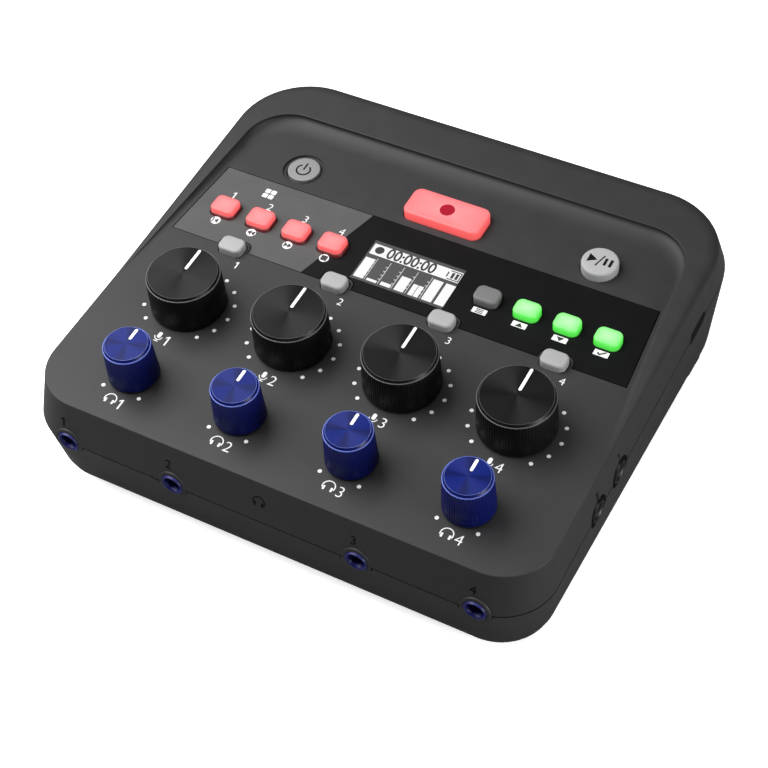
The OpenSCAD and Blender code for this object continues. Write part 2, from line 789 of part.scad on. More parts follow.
module main_board() {
    color([0.05, 0.3, 0.16]) on_deck() difference() {
        translate([-board_w / 2, -board_front, board_bottom])
            cube([board_w, board_rear + board_front, board_t]);
        for (p = case_screw_places) {
            translate([p[0], p[1], board_bottom - cut])
                cylinder(d = boss_d + 4 * part_gap, h = board_t + 2 * cut, $fn = small_fn);
        }
        for (p = board_screw_places) {
            translate([p[0], p[1], board_bottom - cut])
                cylinder(d = board_screw_d + part_gap, h = board_t + 2 * cut, $fn = small_fn);
        }
        for (x = phones_jack_xs) {
            at_front(x) collar_room();
        }
        for (y = [line_jack_y, aux_jack_y]) {
            at_right(y) collar_room();
        }
    }
}

// One pot body with the bearing bore of its shaft
module pot(x, y, w) {
    difference() {
        translate([x - w / 2, y - w / 2, board_top]) cube([w, w, board_depth - deck_t - part_gap]);
        translate([x, y, board_top + socket_floor])
            cylinder(d = shaft_d + 2 * running_fit, h = board_depth, $fn = small_fn);
    }
}

module gain_pots() {
    color([0.55, 0.56, 0.58]) on_deck() for (x = channel_x) {
        pot(x, 0, gain_pot_w);
    }
}

module phones_pots() {
    color([0.55, 0.56, 0.58]) on_deck() for (x = channel_x) {
        pot(x, -phones_row, phones_pot_w);
    }
}

module key_switches() {
    color([0.7, 0.7, 0.7]) on_deck() for (p = key_places) {
        translate([p[0] - switch_w / 2, p[1] - switch_w / 2, board_top])
            cube([switch_w, switch_w, switch_h]);
        translate([p[0], p[1], board_top + switch_h])
            cylinder(d = switch_w / 2, h = switch_nub_h, $fn = small_fn);
    }
}

module key_lights() {
    color([0.9, 0.9, 0.85]) on_deck() for (p = lit_places) {
        translate([p[0] + switch_w / 2 + part_gap, p[1] - light_w / 2, board_top])
            cube([light_w, light_w, light_h]);
    }
}

// Socket body hung under the board, with its nose in the wall, drawn along +Z: set is its least depth
module jack_body(set) {
    body_front = -max(scallop_depth + wall, set);
    bore_floor = body_front - jack_length + socket_floor;
    difference() {
        union() {
            translate([-jack_w / 2, -jack_half_h, body_front - jack_length])
                cube([jack_w, 2 * jack_half_h, jack_length]);
            translate([0, 0, body_front - cut])
                cylinder(d = jack_d + 2 * nose_wall, h = cut - body_front - collar_set, $fn = small_fn);
        }
        translate([0, 0, bore_floor]) cylinder(d = jack_d, h = cut - bore_floor, $fn = small_fn);
    }
}

// Collar round a socket's nose, drawn along +Z
module jack_collar() {
    length = scallop_depth + wall;
    difference() {
        translate([0, 0, -length]) cylinder(d = collar_d, h = length - collar_set, $fn = small_fn);
        translate([0, 0, -length - cut])
            cylinder(d = jack_d + 2 * nose_wall + 2 * press_fit, h = length + 2 * cut, $fn = small_fn);
    }
}

module phones_jacks() {
    color([0.1, 0.1, 0.11]) on_deck() for (x = phones_jack_xs) {
        at_front(x) jack_body(front_set);
    }
}

module phones_collars() {
    color([0.12, 0.17, 0.55]) on_deck() for (x = phones_jack_xs) {
        at_front(x) jack_collar();
    }
}

module line_jacks() {
    color([0.08, 0.08, 0.09]) on_deck() for (y = [line_jack_y, aux_jack_y]) {
        at_right(y) jack_body(side_set);
    }
}

module line_collars() {
    color([0.1, 0.1, 0.1]) on_deck() for (y = [line_jack_y, aux_jack_y]) {
        at_right(y) jack_collar();
    }
}

module usb_socket() {
    bore_h = usb_h - 2 * port_wall;
    color([0.6, 0.6, 0.62]) on_deck() at_right(usb_y) difference() {
        union() {
            translate([0, 0, -wall - usb_length]) linear_extrude(wall + usb_length - port_set)
                round_rect(usb_w, usb_h, usb_h / 2 - port_wall / 2);
            translate([-usb_w / 2, 0, -wall - usb_length])
                cube([usb_w, jack_half_h, usb_length + wall - side_set]);
        }
        translate([0, 0, socket_floor - wall - usb_length]) linear_extrude(wall + usb_length)
            round_rect(usb_w - 2 * port_wall, bore_h, bore_h / 2 - port_wall / 2);
    }
    color([0.08, 0.08, 0.09]) on_deck() at_right(usb_y) translate([0, 0, -wall - usb_length])
        linear_extrude(wall + usb_length - 2 * socket_floor)
            square([usb_w - bore_h, tongue_t], center = true);
}

module card_socket() {
    color([0.6, 0.6, 0.62]) on_deck() at_left(card_y) difference() {
        translate([-card_w / 2 - card_wall, -card_h / 2 - card_wall, -side_set - card_length])
            cube([card_w + 2 * card_wall, jack_half_h + card_h / 2 + card_wall, card_length]);
        translate([-card_w / 2, -card_h / 2, socket_floor - side_set - card_length])
            cube([card_w, card_h, card_length]);
    }
}

module mic_socket(i) {
    color([0.1, 0.1, 0.105]) at_mic(i) difference() {
        translate([0, 0, -mic_length]) cylinder(d = mic_d - 2 * press_fit, h = mic_length, $fn = arc_fn);
        translate([0, 0, -mic_depth]) cylinder(d = mic_bore_d, h = mic_depth + cut, $fn = arc_fn);
    }
}

module mic_inserts() {
    color([0.07, 0.07, 0.075]) for (i = [0:3]) {
        at_mic(i) difference() {
            translate([0, 0, -mic_depth])
                cylinder(d = mic_insert_d, h = mic_depth - insert_set, $fn = arc_fn);
            for (a = [30, 150, 270]) {
                rotate([0, 0, a]) translate([mic_contact_r, 0, contact_floor - mic_depth])
                    cylinder(d = mic_contact_d, h = mic_depth, $fn = small_fn);
            }
        }
    }
}

module battery_contacts() {
    color([0.75, 0.74, 0.7]) on_base() for (x = [-1, 1]) {
        for (row = [-1, 1]) {
            translate([x * (bay_w - contact_t) / 2, bay_y + row * bay_d / 4, bay_h / 2])
                cube([contact_t, bay_d / 4, bay_h / 2], center = true);
        }
    }
}

module battery_door() {
    color([0.14, 0.14, 0.145]) on_base() difference() {
        union() {
            translate([-door_w / 2, bay_y - door_d / 2 + door_t / 2, 0])
                cube([door_w, door_d - door_t / 2, door_t]);
            hinge_rod(door_t, 0);
            hinge_rod(pin_d, door_gap + pin_grip);
        }
        for (i = [0:tread_count - 1]) {
            translate([-door_w / 6, bay_y + door_d / 4 + i * tread_pitch, -cut])
                cube([door_w / 3, tread_w, cut + tread_depth]);
        }
    }
}

module case_screws() {
    seat = -parting_depth - clamp_length;
    slot = case_head_d / 1.5;
    color([0.3, 0.3, 0.31]) on_deck() for (p = case_screw_places) {
        translate([p[0], p[1], seat - case_head_h]) difference() {
            union() {
                cylinder(d = case_head_d, h = case_head_h, $fn = small_fn);
                cylinder(d = case_screw_d - 2 * press_fit,
                         h = case_head_h + clamp_length + screw_grip, $fn = small_fn);
            }
            translate([-slot / 2, -drive_w / 2, -cut]) cube([slot, drive_w, drive_depth + cut]);
            translate([-drive_w / 2, -slot / 2, -cut]) cube([drive_w, slot, drive_depth + cut]);
        }
    }
}

module board_screws() {
    color([0.7, 0.7, 0.72]) on_deck() for (p = board_screw_places) {
        translate([p[0], p[1], board_bottom - board_head_h]) {
            cylinder(d = 2 * board_screw_d, h = board_head_h, $fn = small_fn);
            cylinder(d = board_screw_d - 2 * press_fit,
                     h = board_head_h + board_t + board_screw_h - part_gap, $fn = small_fn);
        }
    }
}

// Pair of feet, flat on the desk and cut to the slope of the base
module feet(w, d, y, h) {
    intersection() {
        translate([0, frame_y + base_depth * sin(deck_tilt) + y * cos(base_tilt), 0]) for (x = [-1, 1]) {
            translate([x * (foot_reach - w / 2), 0, 0]) linear_extrude(h + d) round_rect(w, d, foot_corner_r);
        }
        on_base() translate([-case_w, -2 * case_rear, -2 * case_rear])
            cube([2 * case_w, 4 * case_rear, 2 * case_rear]);
    }
}

module front_feet() {
    color([0.09, 0.09, 0.09]) feet(front_foot_w, front_foot_d, -front_foot_y, front_foot_h);
}

module rear_feet() {
    color([0.09, 0.09, 0.09]) feet(rear_foot_w, rear_foot_d, rear_foot_y, rear_foot_h);
}

// Hollow knob with a hub on its shaft and a pointer slot in its top
module knob(x, y, d, h, pointer_in) {
    r = d / 2;
    hub_r = shaft_d / 2 + hub_wall;
    inner = h - knob_roof;
    translate([x, y, 0]) difference() {
        rotate_extrude($fn = arc_fn) polygon([
            [shaft_d / 2 + press_fit, knob_gap + hub_set], [hub_r, knob_gap + hub_set], [hub_r, inner],
            [r - knob_side, inner], [r - knob_side, knob_gap], [r, knob_gap],
            [r - knob_taper, h - knob_bevel], [r - knob_taper - knob_bevel, h],
            [0, h], [0, inner], [shaft_d / 2 + press_fit, inner]]);
        translate([-pointer_w / 2, pointer_in, h - pointer_depth])
            cube([pointer_w, r - knob_taper - pointer_edge - pointer_in, pointer_depth + cut]);
    }
}

// Pot shaft from its bearing up to the knob's roof
module shaft(x, y, h) {
    bottom = board_top + socket_floor + part_gap;
    translate([x, y, bottom])
        cylinder(d = shaft_d, h = h - knob_roof - press_fit - bottom, $fn = small_fn);
}

module gain_knob(i) {
    color([0.06, 0.06, 0.065]) on_deck()
        knob(channel_x[i], 0, gain_knob_d, gain_knob_h, gain_pointer_in);
}
module gain_shaft(i) {
    color([0.75, 0.75, 0.76]) on_deck() shaft(channel_x[i], 0, gain_knob_h);
}
module phones_knob(i) {
    color([0.12, 0.17, 0.55]) on_deck()
        knob(channel_x[i], -phones_row, phones_knob_d, phones_knob_h, phones_pointer_in);
}
module phones_shaft(i) {
    color([0.75, 0.75, 0.76]) on_deck() shaft(channel_x[i], -phones_row, phones_knob_h);
}

// Hidden lower part of every key: a flange under the deck and a stem over its switch
module key_foot(x, y) {
    translate([x, y, flange_top - key_flange_t]) linear_extrude(key_flange_t) children();
    translate([x, y, stem_bottom]) cylinder(d = stem_d, h = flange_top - stem_bottom, $fn = small_fn);
}

// Round cap of radius r and height h, its top edge rounded
module round_cap(r, h, fn) {
    low = flange_top - key_flange_t / 2;
    rotate_extrude($fn = fn) polygon(concat(
        [[0, low], [r, low]],
        [for (a = [0:18:90]) [r - key_round * (1 - cos(a)), h - key_round * (1 - sin(a))]],
        [[0, h]]));
}

// Key with a rounded-rectangle cap
module key(x, y, w, d, r, h) {
    key_foot(x, y) round_rect(w + 2 * key_flange, d + 2 * key_flange, r);
    translate([x, y, 0]) hull() {
        for (sx = [-1, 1]) {
            for (sy = [-1, 1]) {
                translate([sx * (w / 2 - r), sy * (d / 2 - r), 0]) round_cap(r, h, cap_fn);
            }
        }
    }
}

// Key with a round cap
module round_key(x, y, d, h) {
    key_foot(x, y) circle(d = d + 2 * key_flange, $fn = small_fn);
    translate([x, y, 0]) round_cap(d / 2, h, arc_fn);
}

module pad_button(i) {
    color([0.95, 0.35, 0.36]) on_deck() key(pad_x[i], key_row, pad_w, pad_d, key_corner_r, key_h);
}
module mute_button(i) {
    color([0.68, 0.68, 0.68]) on_deck() key(channel_x[i], mute_row, mute_w, mute_d, key_corner_r, key_h);
}
module function_button(i, tint) {
    color(tint) on_deck() key(function_x[i], key_row, function_w, function_d, key_corner_r, key_h);
}
module record_button() {
    color([0.95, 0.35, 0.36]) on_deck() key(0, record_row, record_w, record_d, record_corner_r, record_h);
}
module power_button() {
    color([0.45, 0.45, 0.45]) on_deck() round_key(-side_key_x, record_row, power_d, power_h);
}
module play_button() {
    color([0.75, 0.75, 0.75]) on_deck() round_key(side_key_x, record_row, play_d, record_h);
}

top_case();
bottom_case();
fascia_panel();
display_window();
display_module();
main_board();
gain_pots();
phones_pots();
key_switches();
key_lights();
phones_jacks();
phones_collars();
line_jacks();
line_collars();
usb_socket();
card_socket();
mic_socket(0);  // mic_socket_1
mic_socket(1);  // mic_socket_2
mic_socket(2);  // mic_socket_3
mic_socket(3);  // mic_socket_4
mic_inserts();
battery_contacts();
case_screws();
board_screws();
front_feet();
rear_feet();
battery_door();
gain_knob(0);  // gain_knob_1
gain_knob(1);  // gain_knob_2
gain_knob(2);  // gain_knob_3
gain_knob(3);  // gain_knob_4
gain_shaft(0);  // gain_shaft_1
gain_shaft(1);  // gain_shaft_2
gain_shaft(2);  // gain_shaft_3
gain_shaft(3);  // gain_shaft_4
phones_knob(0);  // phones_knob_1
phones_knob(1);  // phones_knob_2
phones_knob(2);  // phones_knob_3
phones_knob(3);  // phones_knob_4
phones_shaft(0);  // phones_shaft_1
phones_shaft(1);  // phones_shaft_2
phones_shaft(2);  // phones_shaft_3
phones_shaft(3);  // phones_shaft_4
pad_button(0);  // pad_button_a
pad_button(1);  // pad_button_b
pad_button(2);  // pad_button_c
pad_button(3);  // pad_button_d
mute_button(0);  // mute_button_1
mute_button(1);  // mute_button_2
mute_button(2);  // mute_button_3
mute_button(3);  // mute_button_4
function_button(0, plain_grey);  // menu_button
function_button(1, lit_green);  // tone_button
function_button(2, lit_green);  // level_button
function_button(3, lit_green);  // noise_button
record_button();
power_button();
play_button();
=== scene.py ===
"""Looks of a four-channel podcast recorder: surfaces, finishes, light and camera.

Lengths are millimetres in a working plane (x right, y back, z out of the plane) until
``Plane.place`` turns them into metres of the row frame.
"""

import logging
import math
from dataclasses import dataclass
from enum import Enum
from typing import Sequence

import bmesh
import bpy
import numpy as np
from mathutils import Matrix, Vector
from mathutils.geometry import delaunay_2d_cdt


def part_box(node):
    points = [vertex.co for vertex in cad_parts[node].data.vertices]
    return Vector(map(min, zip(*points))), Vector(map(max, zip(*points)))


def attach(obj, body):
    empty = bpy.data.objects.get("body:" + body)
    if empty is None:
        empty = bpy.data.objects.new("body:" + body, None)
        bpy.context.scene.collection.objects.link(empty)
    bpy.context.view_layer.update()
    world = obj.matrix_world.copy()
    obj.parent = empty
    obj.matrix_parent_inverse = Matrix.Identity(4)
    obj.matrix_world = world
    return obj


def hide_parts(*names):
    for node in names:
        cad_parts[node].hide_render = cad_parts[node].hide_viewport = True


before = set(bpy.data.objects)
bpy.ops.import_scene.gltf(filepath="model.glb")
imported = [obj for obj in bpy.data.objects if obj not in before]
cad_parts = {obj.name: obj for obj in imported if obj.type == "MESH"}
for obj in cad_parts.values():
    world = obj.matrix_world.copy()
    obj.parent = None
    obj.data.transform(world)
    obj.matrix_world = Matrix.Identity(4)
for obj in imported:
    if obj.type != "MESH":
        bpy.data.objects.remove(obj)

LOG = logging.getLogger("scene")
MM = 0.001
Array = np.ndarray
Colour = tuple[float, float, float]


def srgb(red: int, green: int, blue: int) -> Colour:
    """Linear colour of an 8-bit display colour."""
    c = np.array([red, green, blue]) / 255.0
    linear = np.where(c <= 0.04045, c / 12.92, ((c + 0.055) / 1.055) ** 2.4)
    return tuple(float(v) for v in linear)


# Working planes


@dataclass(frozen=True)
class Plane:
    """A working plane, turned about X and placed in the row frame."""

    origin: tuple[float, float, float]
    tilt: float

    def place(self, points: Array) -> Array:
        """Metres in the row frame of points given in the plane's millimetres."""
        c, s = math.cos(math.radians(self.tilt)), math.sin(math.radians(self.tilt))
        x, y, z = points[..., 0], points[..., 1], points[..., 2]
        turned = np.stack([x, y * c - z * s, y * s + z * c], axis=-1)
        return (turned + np.array(self.origin)) * MM


# Control deck, base of the lower shell, and the row frame itself
DECK = Plane((0.0, -28.138, 41.1602), 7.0)
BASE = Plane((0.0, -23.3729, 2.3517), 2.0)
ROW = Plane((0.0, 0.0, 0.0), 0.0)

# Middle of each channel in x, and height of the seam between the shells over the deck plane
CHANNELS = (-51.0, -17.0, 17.0, 51.0)
PARTING = -12.6

# Places on the deck: rows in y, the others in x
PHONES_ROW = -28.4
MUTE_ROW = 23.6
PAD_ROW = 36.35
KEY_ROW = 36.7
BACK_ROW = 60.6
PAD_START = -61.0
MENU_PLACE = 24.7
KEY_PITCH = 12.1
SIDE_KEY = 48.2

# Places along the side walls, in y
PORT_PLACE = 61.5
CARD_PLACE = 30.0

# Angles in degrees from which edges stay sharp
SHELL_SHARP = 42.0
LOWER_SHARP = 24.0
KNOB_SHARP = 50.0
CAP_SHARP = 60.0
PRINT_SHARP = 30.0

# Distances in metres at which points or the ends of an edge count as one, the last for the CAD shell
POINT_GAP = 1e-7
EDGE_GAP = 1e-8
CAD_GAP = 2e-6


# Surfaces


@dataclass
class Surface:
    """Points in millimetres, the faces between them and an optional value at each point for backlight and
    painted shade.
    """

    points: Array
    faces: list[list[int]]
    glow: Array | None = None

    @staticmethod
    def joined(parts: Sequence["Surface"]) -> "Surface":
        """One surface made of several."""
        starts = np.cumsum([0] + [len(p.points) for p in parts])
        faces = [[i + int(s) for i in f] for p, s in zip(parts, starts) for f in p.faces]
        return Surface(np.concatenate([p.points for p in parts]), faces)

    def moved(self, x: float, y: float, z: float = 0.0) -> "Surface":
        """The surface shifted within its plane."""
        return Surface(self.points + np.array([x, y, z]), self.faces, self.glow)

    def tipped(self, degrees: float) -> "Surface":
        """The surface turned about its x axis, so that z leans towards y."""
        c, s = math.cos(math.radians(degrees)), math.sin(math.radians(degrees))
        return self.turned(((1, 0, 0), (0, c, -s), (0, s, c)), (0, 0, 0))

    def turned(self, columns: Sequence[Sequence[float]], offset: Sequence[float]) -> "Surface":
        """The surface with its x, y and z axes laid along three columns, then shifted."""
        return Surface(self.points @ np.array(columns) + np.array(offset), self.faces, self.glow)

    def piece(
        self, name: str, plane: Plane = DECK, sharp: float = 38.0, weld: bool = True
    ) -> bpy.types.Object:
        """A smooth-shaded mesh object of the surface.

        Args:
            name: Name of the object.
            plane: Working plane that the points are given in.
            sharp: Edges steeper than this many degrees stay sharp.
            weld: Whether points that coincide are joined.

        Returns:
            The object, at the origin of the row frame.
        """
        mesh = bpy.data.meshes.new(name)
        mesh.from_pydata(plane.place(self.points).tolist(), [], self.faces)
        if self.glow is not None:
            layer = mesh.attributes.new("glow", "FLOAT", "POINT")
            layer.data.foreach_set("value", self.glow.astype(np.float32))
        if weld:
            join_points(mesh, POINT_GAP, EDGE_GAP)
        obj = link(name, mesh)
        smooth(obj, sharp)
        return obj


def link(name: str, data: bpy.types.ID) -> bpy.types.Object:
    """A new object of the scene."""
    obj = bpy.data.objects.new(name, data)
    bpy.context.scene.collection.objects.link(obj)
    return obj


def join_points(mesh: bpy.types.Mesh, distance: float, smallest: float = 0.0) -> None:
    """Joins points within a distance in metres, and drops edges and faces smaller than ``smallest``."""
    bm = bmesh.new()
    bm.from_mesh(mesh)
    bmesh.ops.remove_doubles(bm, verts=bm.verts, dist=distance)
    if smallest:
        bmesh.ops.dissolve_degenerate(bm, dist=smallest, edges=bm.edges)
    bm.to_mesh(mesh)
    bm.free()


def smooth(obj: bpy.types.Object, sharp: float) -> None:
    """Shades an object smooth, with edges steeper than ``sharp`` degrees kept sharp."""
    mesh = obj.data
    mesh.polygons.foreach_set("use_smooth", np.ones(len(mesh.polygons), dtype=bool))
    mesh.set_sharp_from_angle(angle=math.radians(sharp))


def read(items: bpy.types.bpy_prop_collection, key: str, kind: type, width: int = 1) -> Array:
    """One property of every item of a mesh, a row for each item where it has several values."""
    values = np.empty(len(items) * width, dtype=kind)
    items.foreach_get(key, values)
    return values if width == 1 else values.reshape(-1, width)


def even_normals(mesh: bpy.types.Mesh, angle: float) -> None:
    """Gives each face corner the mean normal, by area, of the faces at its vertex that lie near its own face.

    Args:
        mesh: Mesh to shade.
        angle: Largest angle between two faces that shade as one, in degrees.
    """
    corner = read(mesh.loops, "vertex_index", np.int32)
    count = read(mesh.polygons, "loop_total", np.int32)
    normal = read(mesh.polygons, "normal", np.float32, 3).astype(float)
    area = read(mesh.polygons, "area", np.float32)
    face = np.repeat(np.arange(len(count)), count)
    order = np.argsort(corner, kind="stable")
    sharing = np.bincount(corner, minlength=len(mesh.vertices))
    start = np.cumsum(sharing) - sharing
    each = sharing[corner]
    own = np.repeat(np.arange(len(corner)), each)
    step = np.arange(len(own)) - np.repeat(np.cumsum(each) - each, each)
    other = face[order[start[corner[own]] + step]]
    near = np.einsum("ij,ij->i", normal[face[own]], normal[other]) > math.cos(math.radians(angle))
    pull = normal[other] * (area[other] * near)[:, None]
    mean = np.column_stack([np.bincount(own, pull[:, k], len(corner)) for k in range(3)])
    mean /= np.maximum(np.linalg.norm(mean, axis=1), 1e-12)[:, None]
    mesh.polygons.foreach_set("use_smooth", np.ones(len(count), dtype=bool))
    mesh.normals_split_custom_set(mean.tolist())


def loft(rings: Sequence[Array], start: bool = False, end: bool = False) -> Surface:
    """Quads between successive closed rings of equal length.

    Args:
        rings: Closed rings of points, counter-clockwise seen from the end that they run to.
        start: Whether the first ring is closed by a face.
        end: Whether the last ring is closed by a face.

    Returns:
        The surface, facing outward where the rings run up a solid.
    """
    stack = np.stack(rings)
    count, size = stack.shape[:2]
    row = np.arange(count - 1)[:, None] * size
    here = np.arange(size)[None, :]
    after = (here + 1) % size
    quads = np.stack([row + here, row + after, row + size + after, row + size + here], axis=-1)
    faces = quads.reshape(-1, 4).tolist()
    if start:
        faces.append(list(range(size))[::-1])
    if end:
        faces.append(list(range((count - 1) * size, count * size)))
    return Surface(stack.reshape(-1, 3), faces)


def lift(loop: Array, z: float) -> Array:
    """A plane loop as a ring at height z."""
    return np.column_stack([loop, np.full(len(loop), z)])


def sweep(start: float, end: float, count: int) -> Array:
    """Evenly spaced angles in radians between two angles in degrees."""
    return np.radians(np.linspace(start, end, count))


def unit(vectors: Array) -> Array:
    """Vectors brought to length one."""
    return vectors / np.linalg.norm(vectors, axis=1)[:, None]


def circle(radius: float, size: int) -> Array:
    """Circle of the given radius, as ``size`` points."""
    angle = np.linspace(0.0, 2.0 * math.pi, size, endpoint=False)
    return radius * np.column_stack([np.cos(angle), np.sin(angle)])


def round_rect(width: float, depth: float, radius: float, steps: int = 8) -> Array:
    """Rectangle with four quarter circles at its corners, counter-clockwise."""
    angle = sweep(0.0, 90.0, steps + 1)
    quarter = np.arange(4)[:, None] * (math.pi / 2.0)
    x = radius * np.cos(angle[None, :] + quarter)
    y = radius * np.sin(angle[None, :] + quarter)
    side_x = np.array([1, -1, -1, 1])[:, None] * (width / 2.0 - radius)
    side_y = np.array([1, 1, -1, -1])[:, None] * (depth / 2.0 - radius)
    return np.stack([x + side_x, y + side_y], axis=-1).reshape(-1, 2)


def stacked(rows: Sequence[tuple[Array, float]], start: bool = True, end: bool = True) -> Surface:
    """Surface through rows of (loop, height), its ends closed by flat faces unless told otherwise."""
    return loft([lift(loop, z) for loop, z in rows], start, end)


def lathe(
    profile: Sequence[tuple[float, float]], size: int = 64, start: bool = True, end: bool = True
) -> Surface:
    """Profile of (radius, height) turned about z, its ends closed by flat faces unless told otherwise."""
    return stacked([(circle(r, size), z) for r, z in profile], start, end)


def prism(loop: Array, low: float, high: float) -> Surface:
    """Straight prism over a plane loop, which may run either way round."""
    after = np.roll(loop, -1, axis=0)
    area = np.sum(loop[:, 0] * after[:, 1] - loop[:, 1] * after[:, 0])
    loop = loop if area > 0 else loop[::-1]
    return stacked([(loop, low), (loop, high)])


def plate(outline: Array, holes: Sequence[Array], z: float, up: bool = True) -> Surface:
    """Flat face inside an outline, with holes, as constrained Delaunay triangles.

    Args:
        outline: Outer loop.
        holes: Inner loops.
        z: Height of the face.
        up: Whether the face looks along +z.

    Returns:
        The triangulated face.
    """
    loops = [outline, *holes]
    points = np.concatenate(loops)
    starts = np.cumsum([0] + [len(l) for l in loops])
    edges = [
        (int(s + i), int(s + (i + 1) % len(l)))
        for l, s in zip(loops, starts)
        for i in range(len(l))
    ]
    found = delaunay_2d_cdt([Vector(p) for p in points.tolist()], edges, [], 0, 1e-6)
    flat = np.array([[v.x, v.y, z] for v in found[0]])
    triangles = np.array(found[2])
    kept = triangles[inside(flat[triangles, :2].mean(axis=1), loops)]
    return Surface(flat, (kept if up else kept[:, ::-1]).tolist())


def inside(points: Array, loops: Sequence[Array]) -> Array:
    """Which points lie inside an odd number of loops, by counting the edges crossed on the way to +x."""
    first = np.concatenate(loops)
    last = np.concatenate([np.roll(l, -1, axis=0) for l in loops])
    x, y = points[:, :1], points[:, 1:]
    spans = (first[:, 1] > y) != (last[:, 1] > y)
    rise = np.where(first[:, 1] == last[:, 1], 1.0, last[:, 1] - first[:, 1])
    crossing = first[:, 0] + (y - first[:, 1]) * (last[:, 0] - first[:, 0]) / rise
    return (spans & (crossing > x)).sum(axis=1) % 2 == 1


def carve(obj: bpy.types.Object, tool: Surface, plane: Plane, sharp: float) -> None:
    """Cuts a surface out of a closed object and shades the result."""
    cutter = tool.piece("cutter", plane)
    modifier = obj.modifiers.new("carve", "BOOLEAN")
    modifier.operation = "DIFFERENCE"
    modifier.solver = "EXACT"
    modifier.object = cutter
    found = bpy.context.evaluated_depsgraph_get()
    mesh = bpy.data.meshes.new_from_object(
        obj.evaluated_get(found), preserve_all_data_layers=True, depsgraph=found)
    obj.modifiers.clear()
    obj.data = mesh
    bpy.data.objects.remove(cutter)
    smooth(obj, sharp)


# Shader parts


class Tree:
    """A node tree with short ways to add nodes and links."""

    def __init__(self, tree: bpy.types.NodeTree) -> None:
        """Wraps a node tree."""
        self.tree = tree

    def add(
        self, kind: str, values: dict[str | int, object] | None = None, **settings: object
    ) -> bpy.types.Node:
        """Adds a node, sets its properties, and sets or links its inputs."""
        node = self.tree.nodes.new(kind)
        for key, value in settings.items():
            setattr(node, key, value)
        for key, value in (values or {}).items():
            self.feed(node.inputs[key], value)
        return node

    def feed(self, socket: bpy.types.NodeSocket, value: object) -> None:
        """Links a socket to another one, or sets it."""
        if isinstance(value, bpy.types.NodeSocket):
            self.tree.links.new(value, socket)
        elif isinstance(value, tuple) and len(value) == 3 and socket.type == "RGBA":
            socket.default_value = (*value, 1.0)
        else:
            socket.default_value = value

    def math(self, operation: str, *values: object) -> bpy.types.NodeSocket:
        """Result of a math node."""
        node = self.add("ShaderNodeMath", dict(enumerate(values)), operation=operation)
        return node.outputs[0]

    def mix(self, share: object, first: object, second: object) -> bpy.types.NodeSocket:
        """Colour between two colours, by the share of the second."""
        # The sockets for colours come after those for numbers and vectors
        node = self.add("ShaderNodeMix", data_type="RGBA")
        for index, value in ((0, share), (6, first), (7, second)):
            self.feed(node.inputs[index], value)
        return node.outputs[2]


class Effect(Enum):
    """Shader node groups that several finishes share."""

    GRAIN = "Moulded grain"
    SPUN = "Spun rings"
    LIT = "Lit from inside"

    def tree(self) -> bpy.types.NodeTree:
        """The group, made when it is first asked for."""
        makers = {Effect.GRAIN: grain_group, Effect.SPUN: spun_group, Effect.LIT: lit_group}
        return bpy.data.node_groups.get(self.value) or makers[self](self.value)


def new_group(
    name: str, inputs: dict[str, str], outputs: dict[str, str]
) -> tuple[Tree, bpy.types.Node, bpy.types.Node]:
    """An empty node group with named sockets, and its input and output nodes."""
    group = bpy.data.node_groups.new(name, "ShaderNodeTree")
    for key, kind in inputs.items():
        group.interface.new_socket(key, in_out="INPUT", socket_type=kind)
    for key, kind in outputs.items():
        group.interface.new_socket(key, in_out="OUTPUT", socket_type=kind)
    tree = Tree(group)
    return tree, tree.add("NodeGroupInput"), tree.add("NodeGroupOutput")


def surface_group(name: str, first: str, second: str) -> tuple[Tree, bpy.types.Node, bpy.types.Node]:
    """An empty group from a colour, a roughness and two numbers to a colour, a roughness and a height."""
    colour, number = "NodeSocketColor", "NodeSocketFloat"
    return new_group(
        name,
        {"Colour": colour, "Roughness": number, first: number, second: number},
        {"Colour": colour, "Roughness": number, "Height": number},
    )


def close_group(tree: Tree, given: bpy.types.Node, result: bpy.types.Node, shade: bpy.types.NodeSocket,
                dull: bpy.types.NodeSocket, height: bpy.types.NodeSocket) -> bpy.types.NodeTree:
    """Ends a surface group.

    Args:
        tree: The group.
        given: Its input node.
        result: Its output node.
        shade: What the given colour is multiplied by.
        dull: What is added to the given roughness.
        height: Height of the surface.

    Returns:
        The finished group.
    """
    tinted = tree.add("ShaderNodeVectorMath", {0: given.outputs["Colour"], "Scale": shade}, operation="SCALE")
    tree.feed(result.inputs["Colour"], tinted.outputs[0])
    tree.feed(result.inputs["Roughness"], tree.math("ADD", given.outputs["Roughness"], dull))
    tree.feed(result.inputs["Height"], height)
    return tree.tree


# How many times wider the clouds are than the grain, and how far both change the roughness
CLOUD_WIDTH = 60.0
GRAIN_DULL = 0.16


def grain_group(name: str) -> bpy.types.NodeTree:
    """Fine grain and slow cloudiness in object space: a colour, a roughness and a height."""
    tree, given, result = surface_group(name, "Scale", "Variation")
    place = tree.add("ShaderNodeTexCoord").outputs["Object"]
    scale = given.outputs["Scale"]
    fine = tree.add("ShaderNodeTexNoise", {"Vector": place, "Scale": scale, "Detail": 3.0})
    wide = tree.math("DIVIDE", scale, CLOUD_WIDTH)
    slow = tree.add("ShaderNodeTexNoise", {"Vector": place, "Scale": wide, "Detail": 4.0})
    cloud = tree.math("SUBTRACT", slow.outputs["Fac"], 0.5)
    speck = tree.math("SUBTRACT", fine.outputs["Fac"], 0.5)
    both = tree.math("ADD", cloud, tree.math("MULTIPLY", speck, 0.5))
    shade = tree.math("ADD", 1.0, tree.math("MULTIPLY", both, given.outputs["Variation"]))
    dull = tree.math("MULTIPLY", both, GRAIN_DULL)
    return close_group(tree, given, result, shade, dull, fine.outputs["Fac"])


# How far the rings change shade and roughness
RING_SHADE = 0.35
RING_DULL = 0.1

# Where in a turn the first of four dark wedges of painted reflection lies, and how narrow the wedges are
PAINTED_WEDGE_START = 0.04
PAINTED_WEDGE_NARROWING = 3.0


